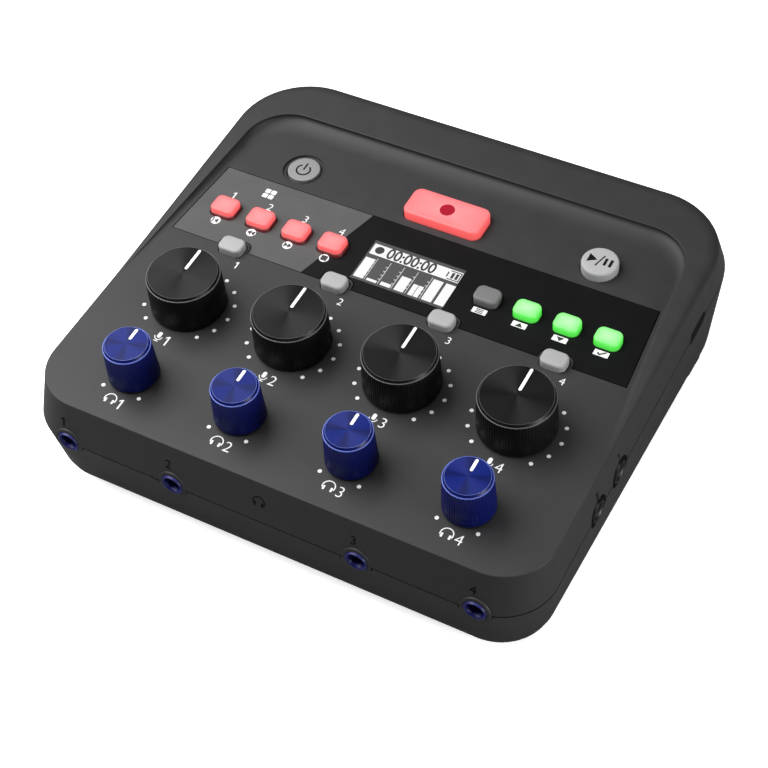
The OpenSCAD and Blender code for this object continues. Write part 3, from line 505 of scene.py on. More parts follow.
def spun_group(name: str) -> bpy.types.NodeTree:
    """Fine rings along the V direction and four dark wedges of painted reflection along U: a colour, a
    roughness and a height.
    """
    tree, given, result = surface_group(name, "Rings", "Wedges")
    split = tree.add("ShaderNodeSeparateXYZ", {0: tree.add("ShaderNodeTexCoord").outputs["UV"]})
    along = tree.math("MULTIPLY", split.outputs["Y"], given.outputs["Rings"])
    rings = tree.add("ShaderNodeTexNoise", {"W": along, "Scale": 1.0, "Detail": 4.0}, noise_dimensions="1D")
    ring = tree.math("SUBTRACT", rings.outputs["Fac"], 0.5)
    ringed = tree.math("ADD", 1.0, tree.math("MULTIPLY", ring, RING_SHADE))
    # Painted reflection: four dark wedges round the disc, turning with the knob, stand in for the lamps'
    # reflections drawn across the spun rings
    turn = tree.math("MULTIPLY", tree.math("SUBTRACT", split.outputs["X"], PAINTED_WEDGE_START), 8.0 * math.pi)
    wave = tree.math("ADD", tree.math("MULTIPLY", tree.math("COSINE", turn), 0.5), 0.5)
    dark = tree.math("MULTIPLY", tree.math("POWER", wave, PAINTED_WEDGE_NARROWING), given.outputs["Wedges"])
    shade = tree.math("MULTIPLY", ringed, tree.math("SUBTRACT", 1.0, dark))
    dull = tree.math("MULTIPLY", ring, RING_DULL)
    return close_group(tree, given, result, shade, dull, rings.outputs["Fac"])


# Fineness and strength of the clouds in a lit cap
LIT_CLOUDS = 260.0
LIT_UNEVEN = 0.18


def lit_group(name: str) -> bpy.types.NodeTree:
    """Colour of a lit cap, by the glow attribute: its dark foot is painted shade where the cap sinks into its
    hole, and its side gives way to a bright middle that is partly backlight and partly painted light from
    above.
    """
    colour = "NodeSocketColor"
    inputs = {"Foot": colour, "Side": colour, "Middle": colour}
    tree, given, result = new_group(name, inputs, {"Colour": colour})
    glow = tree.add("ShaderNodeAttribute", attribute_name="glow").outputs["Fac"]
    place = tree.add("ShaderNodeTexCoord").outputs["Object"]
    noise = tree.add("ShaderNodeTexNoise", {"Vector": place, "Scale": LIT_CLOUDS, "Detail": 2.0})
    uneven = tree.math("MULTIPLY", tree.math("SUBTRACT", noise.outputs["Fac"], 0.5), LIT_UNEVEN)
    low = tree.add("ShaderNodeMapRange", {"Value": glow, "From Min": 0.0, "From Max": 0.5})
    raised = tree.math("ADD", glow, tree.math("MULTIPLY", uneven, glow))
    high = tree.add("ShaderNodeMapRange", {"Value": raised, "From Min": 0.5, "From Max": 1.0})
    # Foot to side: painted shade; side to middle: backlight with painted light from above
    side = tree.mix(low.outputs[0], given.outputs["Foot"], given.outputs["Side"])
    top = tree.mix(high.outputs[0], side, given.outputs["Middle"])
    tree.feed(result.inputs["Colour"], top)
    return tree.tree


# Finishes


@dataclass(frozen=True)
class Finish:
    """A grained finish: colour, gloss and the grain of its surface."""

    name: str
    colour: Colour
    roughness: float = 0.5
    metallic: float = 0.0
    coat: float = 0.0
    specular: float = 0.5
    scale: float = 9000.0
    variation: float = 0.25
    grain: float = 0.02
    coat_roughness: float = 0.12
    bump: float = 0.6

    def material(self) -> bpy.types.Material:
        """The material, made when it is first asked for."""
        found = bpy.data.materials.get(self.name)
        if found:
            return found
        mat = bpy.data.materials.new(self.name)
        mat.use_nodes = True
        tree = Tree(mat.node_tree)
        shader = mat.node_tree.nodes["Principled BSDF"]
        values = {"Metallic": self.metallic, "Coat Weight": self.coat, "Coat Roughness": self.coat_roughness,
                  "Specular IOR Level": self.specular}
        for key, value in values.items():
            shader.inputs[key].default_value = value
        self.wire(tree, shader)
        return mat

    def wire(self, tree: Tree, shader: bpy.types.Node) -> None:
        """Feeds the grained colour into the shader."""
        self.cover(tree, shader, self.grain_node(tree, self.colour))

    def grain_node(self, tree: Tree, colour: object) -> bpy.types.Node:
        """The grain group with this finish's values."""
        values = {"Colour": colour, "Roughness": self.roughness, "Scale": self.scale,
                  "Variation": self.variation}
        return tree.add("ShaderNodeGroup", values, node_tree=Effect.GRAIN.tree())

    def cover(self, tree: Tree, shader: bpy.types.Node, node: bpy.types.Node) -> None:
        """Feeds a group's colour and roughness into the shader, and its height as a bump."""
        tree.feed(shader.inputs["Base Color"], node.outputs["Colour"])
        tree.feed(shader.inputs["Roughness"], node.outputs["Roughness"])
        values = {"Height": node.outputs["Height"], "Strength": self.bump, "Distance": self.grain * MM}
        tree.feed(shader.inputs["Normal"], tree.add("ShaderNodeBump", values).outputs["Normal"])


@dataclass(frozen=True)
class ZonedFinish(Finish):
    """A grained finish printed in two colours, parted by a straight line across the deck."""

    left: Colour = (0.1, 0.1, 0.1)
    near: tuple[float, float] = (0.0, 0.0)
    far: tuple[float, float] = (0.0, 1.0)

    def wire(self, tree: Tree, shader: bpy.types.Node) -> None:
        """Feeds the two printed colours into the shader by the side of the line."""
        ends = DECK.place(np.array([[*self.near, 0.0], [*self.far, 0.0]]))
        run = ends[1] - ends[0]
        split = tree.add("ShaderNodeSeparateXYZ", {0: tree.add("ShaderNodeTexCoord").outputs["Object"]})
        x = tree.math("SUBTRACT", split.outputs["X"], float(ends[0][0]))
        y = tree.math("SUBTRACT", split.outputs["Y"], float(ends[0][1]))
        side = tree.math("LESS_THAN", x, tree.math("MULTIPLY", y, float(run[0] / run[1])))
        self.cover(tree, shader, self.grain_node(tree, tree.mix(side, self.colour, self.left)))


@dataclass(frozen=True)
class SpunFinish(Finish):
    """A disc turned on a lathe: rings, a highlight drawn out across them, and four dark wedges of painted
    reflection.
    """

    anisotropy: float = 0.8
    rings: float = 160.0
    # How dark the four wedges of painted reflection are
    wedges: float = 0.45

    def wire(self, tree: Tree, shader: bpy.types.Node) -> None:
        """Feeds the rings, the dark wedges of painted reflection and the tangent round the disc into the
        shader.
        """
        values = {"Colour": self.colour, "Roughness": self.roughness, "Rings": self.rings,
                  "Wedges": self.wedges}
        self.cover(tree, shader, tree.add("ShaderNodeGroup", values, node_tree=Effect.SPUN.tree()))
        shader.inputs["Anisotropic"].default_value = self.anisotropy
        tangent = tree.add("ShaderNodeTangent", direction_type="UV_MAP", uv_map="UVMap")
        tree.feed(shader.inputs["Tangent"], tangent.outputs[0])


@dataclass(frozen=True)
class LitFinish(Finish):
    """A translucent cap lit from inside, with painted light: its dark foot is painted shade in its hole, and
    its bright middle is partly backlight and partly painted light from above.
    """

    # The foot colour is painted shade where the cap sinks into its hole; the middle colour is partly
    # backlight and partly painted light from above
    foot: Colour = (0.0, 0.0, 0.0)
    middle: Colour = (1.0, 1.0, 1.0)
    power: float = 0.9
    base_share: float = 0.1

    def wire(self, tree: Tree, shader: bpy.types.Node) -> None:
        """Feeds the backlight and painted shade into the emission, with a weak base colour for the room's
        light.
        """
        values = {"Foot": self.foot, "Side": self.colour, "Middle": self.middle}
        node = tree.add("ShaderNodeGroup", values, node_tree=Effect.LIT.tree())
        base = tuple(self.base_share * c for c in self.colour)
        self.cover(tree, shader, self.grain_node(tree, base))
        tree.feed(shader.inputs["Emission Color"], node.outputs["Colour"])
        shader.inputs["Emission Strength"].default_value = self.power


@dataclass(frozen=True)
class ScreenFinish(Finish):
    """A patch of the display that gives off its own light."""

    power: float = 0.9
    base: Colour = (0.02, 0.02, 0.02)

    def wire(self, tree: Tree, shader: bpy.types.Node) -> None:
        """Feeds the grained colour into the emission, over a dark base."""
        grain = self.grain_node(tree, self.colour)
        tree.feed(shader.inputs["Base Color"], self.base)
        tree.feed(shader.inputs["Roughness"], grain.outputs["Roughness"])
        tree.feed(shader.inputs["Emission Color"], grain.outputs["Colour"])
        shader.inputs["Emission Strength"].default_value = self.power


class Finishes:
    """Every finish of the object."""

    case = Finish("Housing plastic", srgb(44, 44, 45), 0.5, specular=0.2, grain=0.012)
    fascia = ZonedFinish(
        "Fascia print", srgb(12, 12, 13), 0.45, left=srgb(74, 74, 74), near=(-28.2, 24.0),
        far=(-20.0, 52.2), grain=0.006, specular=0.09)
    window = Finish("Window gloss", srgb(66, 66, 67), 0.2, coat=0.6, grain=0.0, variation=0.08)
    gain_side = Finish("Gain knob side", srgb(9, 9, 10), 0.4, specular=0.2, grain=0.01)
    # Darkened in four wedges by SpunFinish: painted reflection
    gain_disc = SpunFinish("Gain knob disc", srgb(18, 18, 19), 0.36, specular=0.13, grain=0.003)
    # Lighter finish of the gain knobs' bead and rib ends: painted highlight
    gain_painted_highlight = Finish("Gain knob painted highlight", srgb(70, 70, 70), 0.4, variation=0.2, grain=0.004)
    phones_side = Finish("Headphone knob side", srgb(5, 14, 78), 0.4, specular=0.2, grain=0.008)
    # Darkened in four wedges by SpunFinish: painted reflection
    phones_disc = SpunFinish("Headphone knob disc", srgb(12, 27, 96), 0.36, specular=0.1, grain=0.003)
    # Lighter finish of the headphone knobs' bead and rib ends: painted highlight
    phones_painted_highlight = Finish("Headphone knob painted highlight", srgb(80, 98, 176), 0.4, variation=0.2, grain=0.004)
    pointer = Finish("Pointer inlay", srgb(226, 226, 226), 0.45, variation=0.05, grain=0.004)
    ink = Finish("White ink", srgb(206, 206, 206), 0.5, variation=0.1, grain=0.004)
    dark_ink = Finish("Dark ink", srgb(24, 24, 25), 0.55, variation=0.2, grain=0.004)
    engraving = Finish("Engraving", srgb(8, 8, 8), 0.7, specular=0.1, variation=0.2, grain=0.004)
    # The lit caps' foot colours are painted shade, their middle colours partly backlight and partly painted
    # light from above
    red = LitFinish(
        "Lit red", srgb(255, 100, 100), 0.5, foot=srgb(50, 6, 10), middle=srgb(255, 152, 156), power=0.95)
    green = LitFinish(
        "Lit green", srgb(88, 236, 80), 0.5, foot=srgb(10, 70, 16), middle=srgb(196, 255, 192), power=0.95)
    grey = Finish("Grey rubber", srgb(142, 142, 142), 0.5, specular=0.25, variation=0.1, grain=0.01)
    play = Finish("Pale rubber", srgb(150, 150, 150), 0.5, specular=0.25, variation=0.1, grain=0.01)
    menu = Finish("Dark rubber", srgb(98, 98, 98), 0.5, specular=0.25, variation=0.12, grain=0.01)
    power = Finish("Power rubber", srgb(116, 116, 116), 0.5, specular=0.35, variation=0.12, grain=0.01)
    record_dot = Finish("Record dot", srgb(140, 6, 32), 0.6, specular=0.15, variation=0.12, grain=0.004)
    collar = Finish("Blue collar", srgb(22, 25, 92), 0.4, specular=0.3, grain=0.006)
    socket = Finish("Socket plastic", srgb(16, 16, 17), 0.45, grain=0.012)
    port = Finish("Port steel", srgb(84, 84, 88), 0.3, metallic=1.0, scale=4000.0, variation=0.3, grain=0.006)
    rubber = Finish("Foot rubber", srgb(26, 26, 26), 0.75, specular=0.25, scale=5000.0, grain=0.03)
    board = Finish("Solder mask", srgb(18, 92, 52), 0.3, coat=0.3, scale=2600.0, variation=0.5, grain=0.01)
    metal = Finish(
        "Plain metal", srgb(176, 176, 178), 0.35, metallic=1.0, scale=3000.0, variation=0.3, grain=0.008)
    screw = Finish(
        "Blackened steel", srgb(70, 70, 72), 0.4, metallic=1.0, scale=3500.0, variation=0.4, grain=0.012)
    contact = Finish(
        "Plated contact", srgb(205, 200, 186), 0.25, metallic=1.0, scale=2500.0, variation=0.25, grain=0.006)
    light = Finish(
        "Light housing", srgb(236, 234, 220), 0.2, coat=0.4, scale=3000.0, variation=0.15, grain=0.004)
    plain = Finish("Light grey plastic", srgb(168, 168, 168), 0.5, scale=4000.0, variation=0.2, grain=0.012)
    screen = ScreenFinish("Screen white", srgb(252, 252, 252), 0.4, variation=0.05, power=0.92)
    screen_line = ScreenFinish("Screen grey", srgb(216, 216, 216), 0.4, variation=0.05, power=0.85)


def dress(
    obj: bpy.types.Object, finish: Finish, body: str, slot: str, nodes: Sequence[str] = ()
) -> bpy.types.Object:
    """Gives a piece its finish and its body, and hides the CAD nodes it stands for."""
    obj.data.materials.clear()
    obj.data.materials.append(finish.material())
    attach(obj, body)
    if nodes:
        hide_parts(*nodes)
    return obj


# Case


@dataclass(frozen=True)
class Outline:
    """A plan outline with four round corners, whose sides may lean in behind a bend."""

    front_half: float
    rear_half: float
    front: float
    rear: float
    front_r: float
    rear_r: float
    bend: float = 0.9
    steps: int = 20
    side_steps: int = 48
    edge_steps: int = 12

    def loop(self) -> Array:
        """Right half from the front middle to the back middle, then its mirror image."""
        edge = np.linspace(0.0, 1.0, self.edge_steps, endpoint=False)
        arc = sweep(0.0, 90.0, self.steps + 1)[:-1]
        y0, y1 = self.front_r - self.front, self.rear - self.rear_r
        y = np.linspace(y0, y1, self.side_steps, endpoint=False)
        share = np.clip((y - self.bend) / (y1 - self.bend), 0.0, 1.0)
        front_x, rear_x = self.front_half - self.front_r, self.rear_half - self.rear_r
        front = np.column_stack([edge * front_x, np.full(self.edge_steps, -self.front)])
        corner = np.column_stack([front_x + self.front_r * np.sin(arc), y0 - self.front_r * np.cos(arc)])
        side = np.column_stack([self.front_half + (self.rear_half - self.front_half) * share, y])
        back = np.column_stack([rear_x + self.rear_r * np.cos(arc), y1 + self.rear_r * np.sin(arc)])
        rear = np.column_stack([(1.0 - edge) * rear_x, np.full(self.edge_steps, self.rear)])
        right = np.concatenate([front, corner, side, back, rear, [[0.0, self.rear]]])
        return np.concatenate([right, (right * [-1.0, 1.0])[-2:0:-1]])


@dataclass(frozen=True)
class Opening:
    """A hole through a plate: its loop at the surface, its wall loop and the height of its rolled edge."""

    top: Array
    wall: Array
    edge: float

    def rings(self, low: float) -> Surface:
        """The rolled edge and the wall down to a height."""
        roll = [
            lift(self.wall + (self.top - self.wall) * (1 - math.sin(a)), -self.edge * (1 - math.cos(a)))
            for a in sweep(0.0, 90.0, 4)]
        return loft([*roll, lift(self.wall, low)])


@dataclass(frozen=True)
class Fascia:
    """The inlay behind the knobs: a trapezium with a notch round each mute button."""

    front: float = 23.8
    rear: float = 52.2
    front_half: float = 71.75
    rear_half: float = 69.6
    notch: float = 10.2
    tip: float = 27.4
    tip_r: float = 2.3
    thickness: float = 1.2
    gap: float = 0.25
    edge: float = 0.05

    def loop(self, grow: float) -> Array:
        """Outline grown by a margin, counter-clockwise from the front left corner."""
        half = self.notch / 2.0 - grow
        tip = self.tip - grow
        front = self.front - grow
        arc = sweep(180.0, 90.0, 9)
        left = np.column_stack([
            -half + self.tip_r + self.tip_r * np.cos(arc), tip - self.tip_r + self.tip_r * np.sin(arc)])
        arch = np.concatenate([[[-half, front]], left, (left * [-1.0, 1.0])[::-1], [[half, front]]])
        notches = np.concatenate([arch + [x, 0.0] for x in CHANNELS])
        f, r = self.front_half + grow, self.rear_half + grow
        rear = self.rear + grow
        return np.concatenate([[[-f, front]], notches, [[f, front], [r, rear], [-r, rear]]])

    def build(self, holes: Sequence[Opening], body: str) -> bpy.types.Object:
        """The plate with a broken top edge and its holes."""
        top, wall = self.loop(-self.edge), self.loop(0.0)
        low = -self.thickness
        parts = [
            loft([lift(wall, low), lift(wall, -self.edge), lift(top, 0.0)]),
            plate(top, [h.top for h in holes], 0.0),
            plate(wall, [h.wall for h in holes], low, up=False),
        ]
        parts += [h.rings(low) for h in holes]
        obj = Surface.joined(parts).piece("fascia_look", sharp=SHELL_SHARP)
        even_normals(obj.data, SHELL_SHARP)
        return dress(obj, Finishes.fascia, body, "fascia", ["fascia_panel"])


@dataclass(frozen=True)
class UpperShell:
    """The upper shell: leaning walls, a rim that rises to the back, a basin and the deck with its holes.

    The outlines run from the foot of the wall over the corner and the flat of the rim to the mouth and
    the floor of the basin; ``inner`` and ``under`` bound the hollow side.
    """

    foot: Outline = Outline(78.1, 78.1, 49.0, 102.0, 15.5, 23.5)
    inner: Outline = Outline(75.7, 75.7, 46.6, 99.6, 13.1, 21.1)
    corner: Outline = Outline(76.7, 77.5, 45.2, 93.4, 15.0, 22.0)
    flat: Outline = Outline(76.3, 73.9, 44.9, 89.8, 14.7, 18.6)
    mouth: Outline = Outline(76.0, 71.1, 44.0, 78.6, 13.8, 14.0)
    floor: Outline = Outline(74.4, 69.9, 42.4, 72.2, 12.2, 13.0)
    under: Outline = Outline(73.9, 73.9, 43.2, 90.0, 13.0, 17.0)
    thickness: float = 2.4
    rim_start: float = 0.9
    rim_slope: float = 0.04016
    lip: float = 0.35
    lip_share: float = 0.45
    hole_edge: float = 0.14
    basin_angle: float = 86.0
    step: float = 0.9
    step_share: float = 0.3
    undercut: float = 0.25
    seam: float = 0.28
    seam_scale: float = 0.99
    seat_scale: float = 0.9998
    sliver: float = 0.01

    def height(self, loop: Array) -> Array:
        """Height of the rim over the points of a loop."""
        return np.maximum(0.0, loop[:, 1] - self.rim_start) * self.rim_slope

    def rim(self, loop: Array) -> Array:
        """A loop lifted onto the rim."""
        return np.column_stack([loop, self.height(loop)])

    @staticmethod
    def curve(first: Array, bend: Array, last: Array, steps: int) -> list[Array]:
        """Rings of a quadratic curve from one ring to another, pulled towards a third."""
        return [
            (1 - t) ** 2 * first + 2 * t * (1 - t) * bend + t * t * last
            for t in np.linspace(0.0, 1.0, steps)]

    def skin(self) -> tuple[list[Array], Array]:
        """Rings from the inner foot of the wall over the rim and down the basin, and the deck's edge loop."""
        foot, floor = self.foot.loop(), self.floor.loop()
        corner, flat, mouth = (self.rim(o.loop()) for o in (self.corner, self.flat, self.mouth))
        base = lift(foot, PARTING + self.seam)
        reach = np.linalg.norm(flat - corner, axis=1)[:, None]
        rings = [lift(self.inner.loop(), PARTING), lift(foot * self.seam_scale, PARTING), base]
        rings += self.curve(corner + unit(base - corner) * reach, corner, flat, 10)
        out = unit(flat - mouth)
        drop = np.minimum(self.step_share * mouth[:, 2:], self.step)
        step = np.column_stack([out[:, :2] * drop * self.undercut, -drop])
        rings += self.curve(mouth + out * self.lip, mouth, mouth + step * self.lip_share, 5)
        rings += [self.basin_ring(mouth + step, floor, a) for a in sweep(self.basin_angle, 0.0, 19)]
        return rings, floor

    def basin_ring(self, mouth: Array, floor: Array, angle: float) -> Array:
        """Ring of the hollow basin wall: the mouth at the full angle, the floor at none."""
        full = math.radians(self.basin_angle)
        plan = floor + (mouth[:, :2] - floor) * (math.sin(angle) / math.sin(full))
        return np.column_stack([plan, mouth[:, 2] * ((1 - math.cos(angle)) / (1 - math.cos(full)))])

    def build(self, holes: Sequence[Opening], pocket: Opening, pocket_holes: Sequence[Array],
              depth: float, cuts: Surface, body: str) -> bpy.types.Object:
        """The closed shell.

        Args:
            holes: Holes in the deck.
            pocket: The fascia's pocket.
            pocket_holes: Holes in the floor of that pocket.
            depth: Depth of that pocket.
            cuts: What the sockets need cut out of the walls.
            body: Body that the shell rides on.

        Returns:
            The shell.
        """
        rings, floor = self.skin()
        under = self.under.loop()
        every = [*holes, pocket]
        low = -self.thickness
        parts = [loft(rings), plate(floor, [h.top for h in every], 0.0)]
        parts += [h.rings(low) for h in every]
        parts.append(plate(under, [h.wall for h in every], low, up=False))
        parts.append(loft([lift(under, low), rings[0]]))
        seat, bottom = pocket.wall * self.seat_scale, low + self.sliver
        parts.append(loft([lift(seat, bottom), lift(seat, -depth)]))
        parts.append(plate(seat, pocket_holes, -depth))
        parts.append(plate(seat, pocket_holes, bottom, up=False))
        parts += [loft([lift(h, -depth), lift(h, bottom)]) for h in pocket_holes]
        obj = Surface.joined(parts).piece("upper_shell", sharp=SHELL_SHARP)
        carve(obj, cuts, DECK, SHELL_SHARP)
        even_normals(obj.data, SHELL_SHARP)
        return dress(obj, Finishes.case, body, "case", ["top_case"])


def lower_shell(body: str) -> bpy.types.Object:
    """The lower shell: the CAD shell's surface, welded and shaded smooth over its roundings."""
    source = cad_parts["bottom_case"]
    mesh = source.data.copy()
    mesh.transform(source.matrix_world)
    join_points(mesh, CAD_GAP)
    even_normals(mesh, LOWER_SHARP)
    obj = link("lower_shell", mesh)
    return dress(obj, Finishes.case, body, "case", ["bottom_case"])


# Controls


@dataclass(frozen=True)
class RibbedKnob:
    """A knob with a ribbed skirt, a bevelled shoulder, a spun disc and an inlaid pointer."""

    index: int
    family: str
    centre: tuple[float, float]
    foot_r: float
    height: float
    ribs: int
    side: Finish
    disc: Finish
    pointer_in: float
    # Lighter finish of the bead and the rib ends: painted highlight
    painted_highlight: Finish
    lean: float = 0.4
    bevel: float = 0.6
    drop: float = 0.8
    gap: float = 0.5
    rib_depth: float = 0.1
    skirt: float = 1.3
    roof: float = 2.4
    pointer_w: float = 0.88
    pointer_edge: float = 0.35
    disc_points: int = 128
    disc_rings: int = 24

    @property
    def top_r(self) -> float:
        """Radius at the upper end of the ribs."""
        return self.foot_r - self.lean

    @property
    def seat_r(self) -> float:
        """Radius where the shoulder meets the disc."""
        return self.top_r - self.bevel

    def ring(self, radius: float, z: float, rib: float) -> Array:
        """Ring at a height: the radius less a cosine wave round the skirt, scaled by ``rib``."""
        angle = np.linspace(0.0, 2.0 * math.pi, self.ribs * 6, endpoint=False)
        r = radius - rib * self.rib_depth * (0.5 - 0.5 * np.cos(self.ribs * angle))
        return np.column_stack([r * np.cos(angle), r * np.sin(angle), np.full(len(angle), z)])

    def build_side(self) -> Surface:
        """Skirt and shoulder: rings of (radius, height, rib share) from the hollow to the disc's seat."""
        r, h = self.foot_r, self.height
        top, seat, shoulder = self.top_r, self.seat_r, h - self.drop
        rows = [
            (0.5, h - self.roof, 0), (r - self.skirt, h - self.roof, 0), (r - self.skirt, 0.9, 0),
            (r - self.skirt + 0.2, self.gap, 0), (r - 0.3, self.gap, 0), (r - 0.08, self.gap + 0.16, 0.5),
            (r, self.gap + 0.4, 1), (r - self.lean * 0.5, h * 0.5, 1), (top + 0.01, shoulder - 0.16, 1),
            (top - 0.03, shoulder - 0.05, 1), (top - 0.1, shoulder, 0.7), (top - 0.24, shoulder + 0.03, 0),
            (top - 0.3, shoulder + 0.1, 0), (seat + 0.1, h - 0.12, 0), (seat + 0.04, h - 0.04, 0),
            (seat - 0.03, h - 0.01, 0), (seat - 0.1, h - 0.05, 0), (seat - 0.12, h - 0.12, 0),
            (0.5, h - 0.12, 0)]
        return loft([self.ring(*row) for row in rows], True, True)

    def build_painted_highlight(self) -> Surface:
        """Two edges in a lighter finish, painted highlight on shaped geometry: a bead round the disc and the
        broken upper ends of the ribs.
        """
        top, seat, shoulder, h = self.top_r, self.seat_r - 0.04, self.height - self.drop, self.height
        bead = [(seat - 0.06, h - 0.16, 0), (seat + 0.06, h - 0.16, 0), (seat + 0.06, h - 0.03, 0),
                (seat + 0.03, h + 0.02, 0), (seat - 0.03, h + 0.02, 0), (seat - 0.06, h - 0.03, 0),
                (seat - 0.06, h - 0.16, 0)]
        crest = [(top - 0.3, shoulder - 0.14, 1), (top + 0.03, shoulder - 0.14, 1),
                 (top + 0.02, shoulder - 0.03, 1), (top - 0.06, shoulder + 0.05, 1),
                 (top - 0.16, shoulder + 0.07, 1), (top - 0.3, shoulder + 0.02, 1),
                 (top - 0.3, shoulder - 0.14, 1)]
        return Surface.joined([loft([self.ring(*row) for row in rows]) for rows in (bead, crest)])

    def build_disc(self) -> bpy.types.Object:
        """The spun disc, with U round it and V along its radius."""
        seat, size, count = self.seat_r - 0.14, self.disc_points, self.disc_rings
        radii = [seat, seat, *np.linspace(seat - 0.05, 0.04, count).tolist()]
        heights = [self.height - 0.3, self.height - 0.1] + [self.height - 0.03] * count
        surface = lathe(list(zip(radii, heights)), size).moved(*self.centre)
        obj = surface.piece(f"{self.family}_disc_{self.index}", weld=False)
        mesh = obj.data
        loops = read(mesh.loops, "vertex_index", np.int32)
        start, total = (read(mesh.polygons, key, np.int32) for key in ("loop_start", "loop_total"))
        column = loops % size
        lowest = np.repeat(np.minimum.reduceat(column, start), total)
        highest = np.repeat(np.maximum.reduceat(column, start), total)
        seam = (highest - lowest > size // 2) & (column == 0) & (np.repeat(total, total) == 4)
        u = np.where(seam, 1.0, column / size)
        v = np.linalg.norm(surface.points[:, :2] - self.centre, axis=1)[loops] / seat
        uv = mesh.uv_layers.new(name="UVMap")
        uv.data.foreach_set("uv", np.column_stack([u, v]).astype(np.float32).ravel())
        return obj

    def build_pointer(self) -> Surface:
        """The inlay: a stadium along +y, its top edge softened."""
        length = self.seat_r - self.pointer_edge - self.pointer_in
        loops = [round_rect(self.pointer_w - 2 * e, length - 2 * e, self.pointer_w / 2 - e - 0.001, 8)
                 for e in (0.0, 0.0, 0.05)]
        levels = (self.height - 0.3, self.height - 0.01, self.height + 0.03)
        return stacked(list(zip(loops, levels))).moved(0.0, self.pointer_in + length / 2)

    def dress(self) -> None:
        """Makes the four pieces and sets them on the knob's body."""
        body, slot = f"{self.family}_{self.index}", f"{self.family}_knob"
        side = self.build_side().moved(*self.centre)
        dress(side.piece(f"{self.family}_skirt_{self.index}", sharp=KNOB_SHARP), self.side, body, slot,
              [f"{self.family}_knob_{self.index}"])
        dress(self.build_disc(), self.disc, body, slot)
        # The bead and the rib ends take a lighter finish: painted highlight
        painted_highlight = self.build_painted_highlight().moved(*self.centre)
        dress(painted_highlight.piece(f"{self.family}_trim_{self.index}", sharp=KNOB_SHARP), self.painted_highlight, body, slot)
        pointer = self.build_pointer().moved(*self.centre)
        dress(pointer.piece(f"{self.family}_pointer_{self.index}"), Finishes.pointer, body, slot)


@dataclass(frozen=True)
class KeyCap:
    """A push button: a crowned cap with a rolled edge over a hidden flange and stem."""

    node: str
    centre: tuple[float, float]
    width: float
    depth: float
    corner: float
    height: float
    finish: Finish
    slot: str
    skirt: float = 0.0
    foot: float = 0.0
    roll: float = 0.8
    crown: float = 0.08
    flange: float = 0.9
    gap: float = 0.3
    stem_r: float = 1.5
    stem_low: float = -4.9
    flange_low: float = -3.6
    flange_top: float = -2.7

    @property
    def body(self) -> str:
        """Body that the cap rides on."""
        return self.node.replace("_button", "_key")

    def loop(self, grow: float) -> Array:
        """Plan of the cap about its own middle, grown by a margin."""
        return round_rect(self.width + 2 * grow, self.depth + 2 * grow, self.corner + grow, 8)

    def hole(self, edge: float) -> Opening:
        """The hole it slides in."""
        gap = self.foot + self.gap
        return Opening(self.loop(gap + edge) + self.centre, self.loop(gap) + self.centre, edge)

    def build(self) -> Surface:
        """Rings of (loop, height, glow): stem, flange, side, rolled edge and crown, dark at the foot as
        painted shade and brightest on the crown.
        """
        stem = round_rect(2 * self.stem_r, 2 * self.stem_r, self.stem_r, 8)
        flange, foot, side = self.loop(self.flange), self.loop(self.foot), self.loop(0.0)
        h, roll = self.height, self.roll
        rows = [(stem, self.stem_low, 0.0), (stem, self.flange_low, 0.0), (flange, self.flange_low, 0.0),
                (flange, self.flange_top, 0.0), (foot, self.flange_top, 0.0)]
        # Values near 0 at the skirt and the foot: painted shade where the cap sinks into its hole
        if self.skirt:
            rows += [(foot, self.skirt - 0.2, 0.0), (self.loop(self.foot - 0.12), self.skirt - 0.06, 0.06),
                     (side, self.skirt, 0.12), (side, self.skirt + 0.12, 0.46)]
        else:
            rows += [(side, -0.6, 0.2), (side, 0.15, 0.42)]
        rows += [(self.loop(-roll * (1 - math.cos(a))), h - roll * (1 - math.sin(a)), 0.5 + 0.16 * a)
                 for a in sweep(0.0, 90.0, 8)]
        inner = rows[-1][0]
        # Values rising to 1 on the crown: partly backlight, partly painted light from above
        rows += [(inner * f, h + self.crown * (1 - f * f), 1.0 - 0.26 * f * f)
                 for f in (0.85, 0.65, 0.45, 0.25, 0.08)]
        surface = stacked([(loop, z) for loop, z, _ in rows])
        surface.glow = np.repeat([g for _, _, g in rows], len(stem))
        return surface.moved(*self.centre)

    def dress(self) -> None:
        """Makes the cap and sets it on its body."""
        obj = self.build().piece(f"{self.node}_cap", sharp=CAP_SHARP)
        dress(obj, self.finish, self.body, self.slot, [self.node])


def key_caps() -> list[KeyCap]:
    """All fifteen buttons."""
    caps = [
        KeyCap(f"pad_button_{letter}", (PAD_START + KEY_PITCH * i, PAD_ROW), 7.7, 6.4, 1.7, 2.5,
               Finishes.red, "red_key", skirt=0.85, foot=0.25, roll=0.65)
        for i, letter in enumerate("abcd")]
    caps += [
        KeyCap(f"mute_button_{i}", (x, MUTE_ROW), 7.6, 5.6, 2.0, 2.2, Finishes.grey, "grey_key")
        for i, x in enumerate(CHANNELS, 1)]
    caps.append(KeyCap("menu_button", (MENU_PLACE, KEY_ROW), 7.6, 5.9, 2.0, 2.2, Finishes.menu, "dark_key"))
    caps += [
        KeyCap(f"{name}_button", (MENU_PLACE + KEY_PITCH * i, KEY_ROW), 7.5, 5.9, 2.0, 2.2,
               Finishes.green, "green_key")
        for i, name in enumerate(("tone", "level", "noise"), 1)]
    caps += [
        KeyCap("record_button", (0.0, BACK_ROW), 24.6, 10.8, 2.6, 2.8, Finishes.red, "red_key",
               roll=0.6, crown=0.18),
        KeyCap("power_button", (-SIDE_KEY, BACK_ROW), 10.0, 10.0, 4.999, 0.2, Finishes.power, "dark_key",
               roll=0.4, crown=0.1),
        KeyCap("play_button", (SIDE_KEY, BACK_ROW), 10.8, 10.8, 5.399, 2.8, Finishes.play, "grey_key",
               crown=0.2)]
    return caps


# Prints


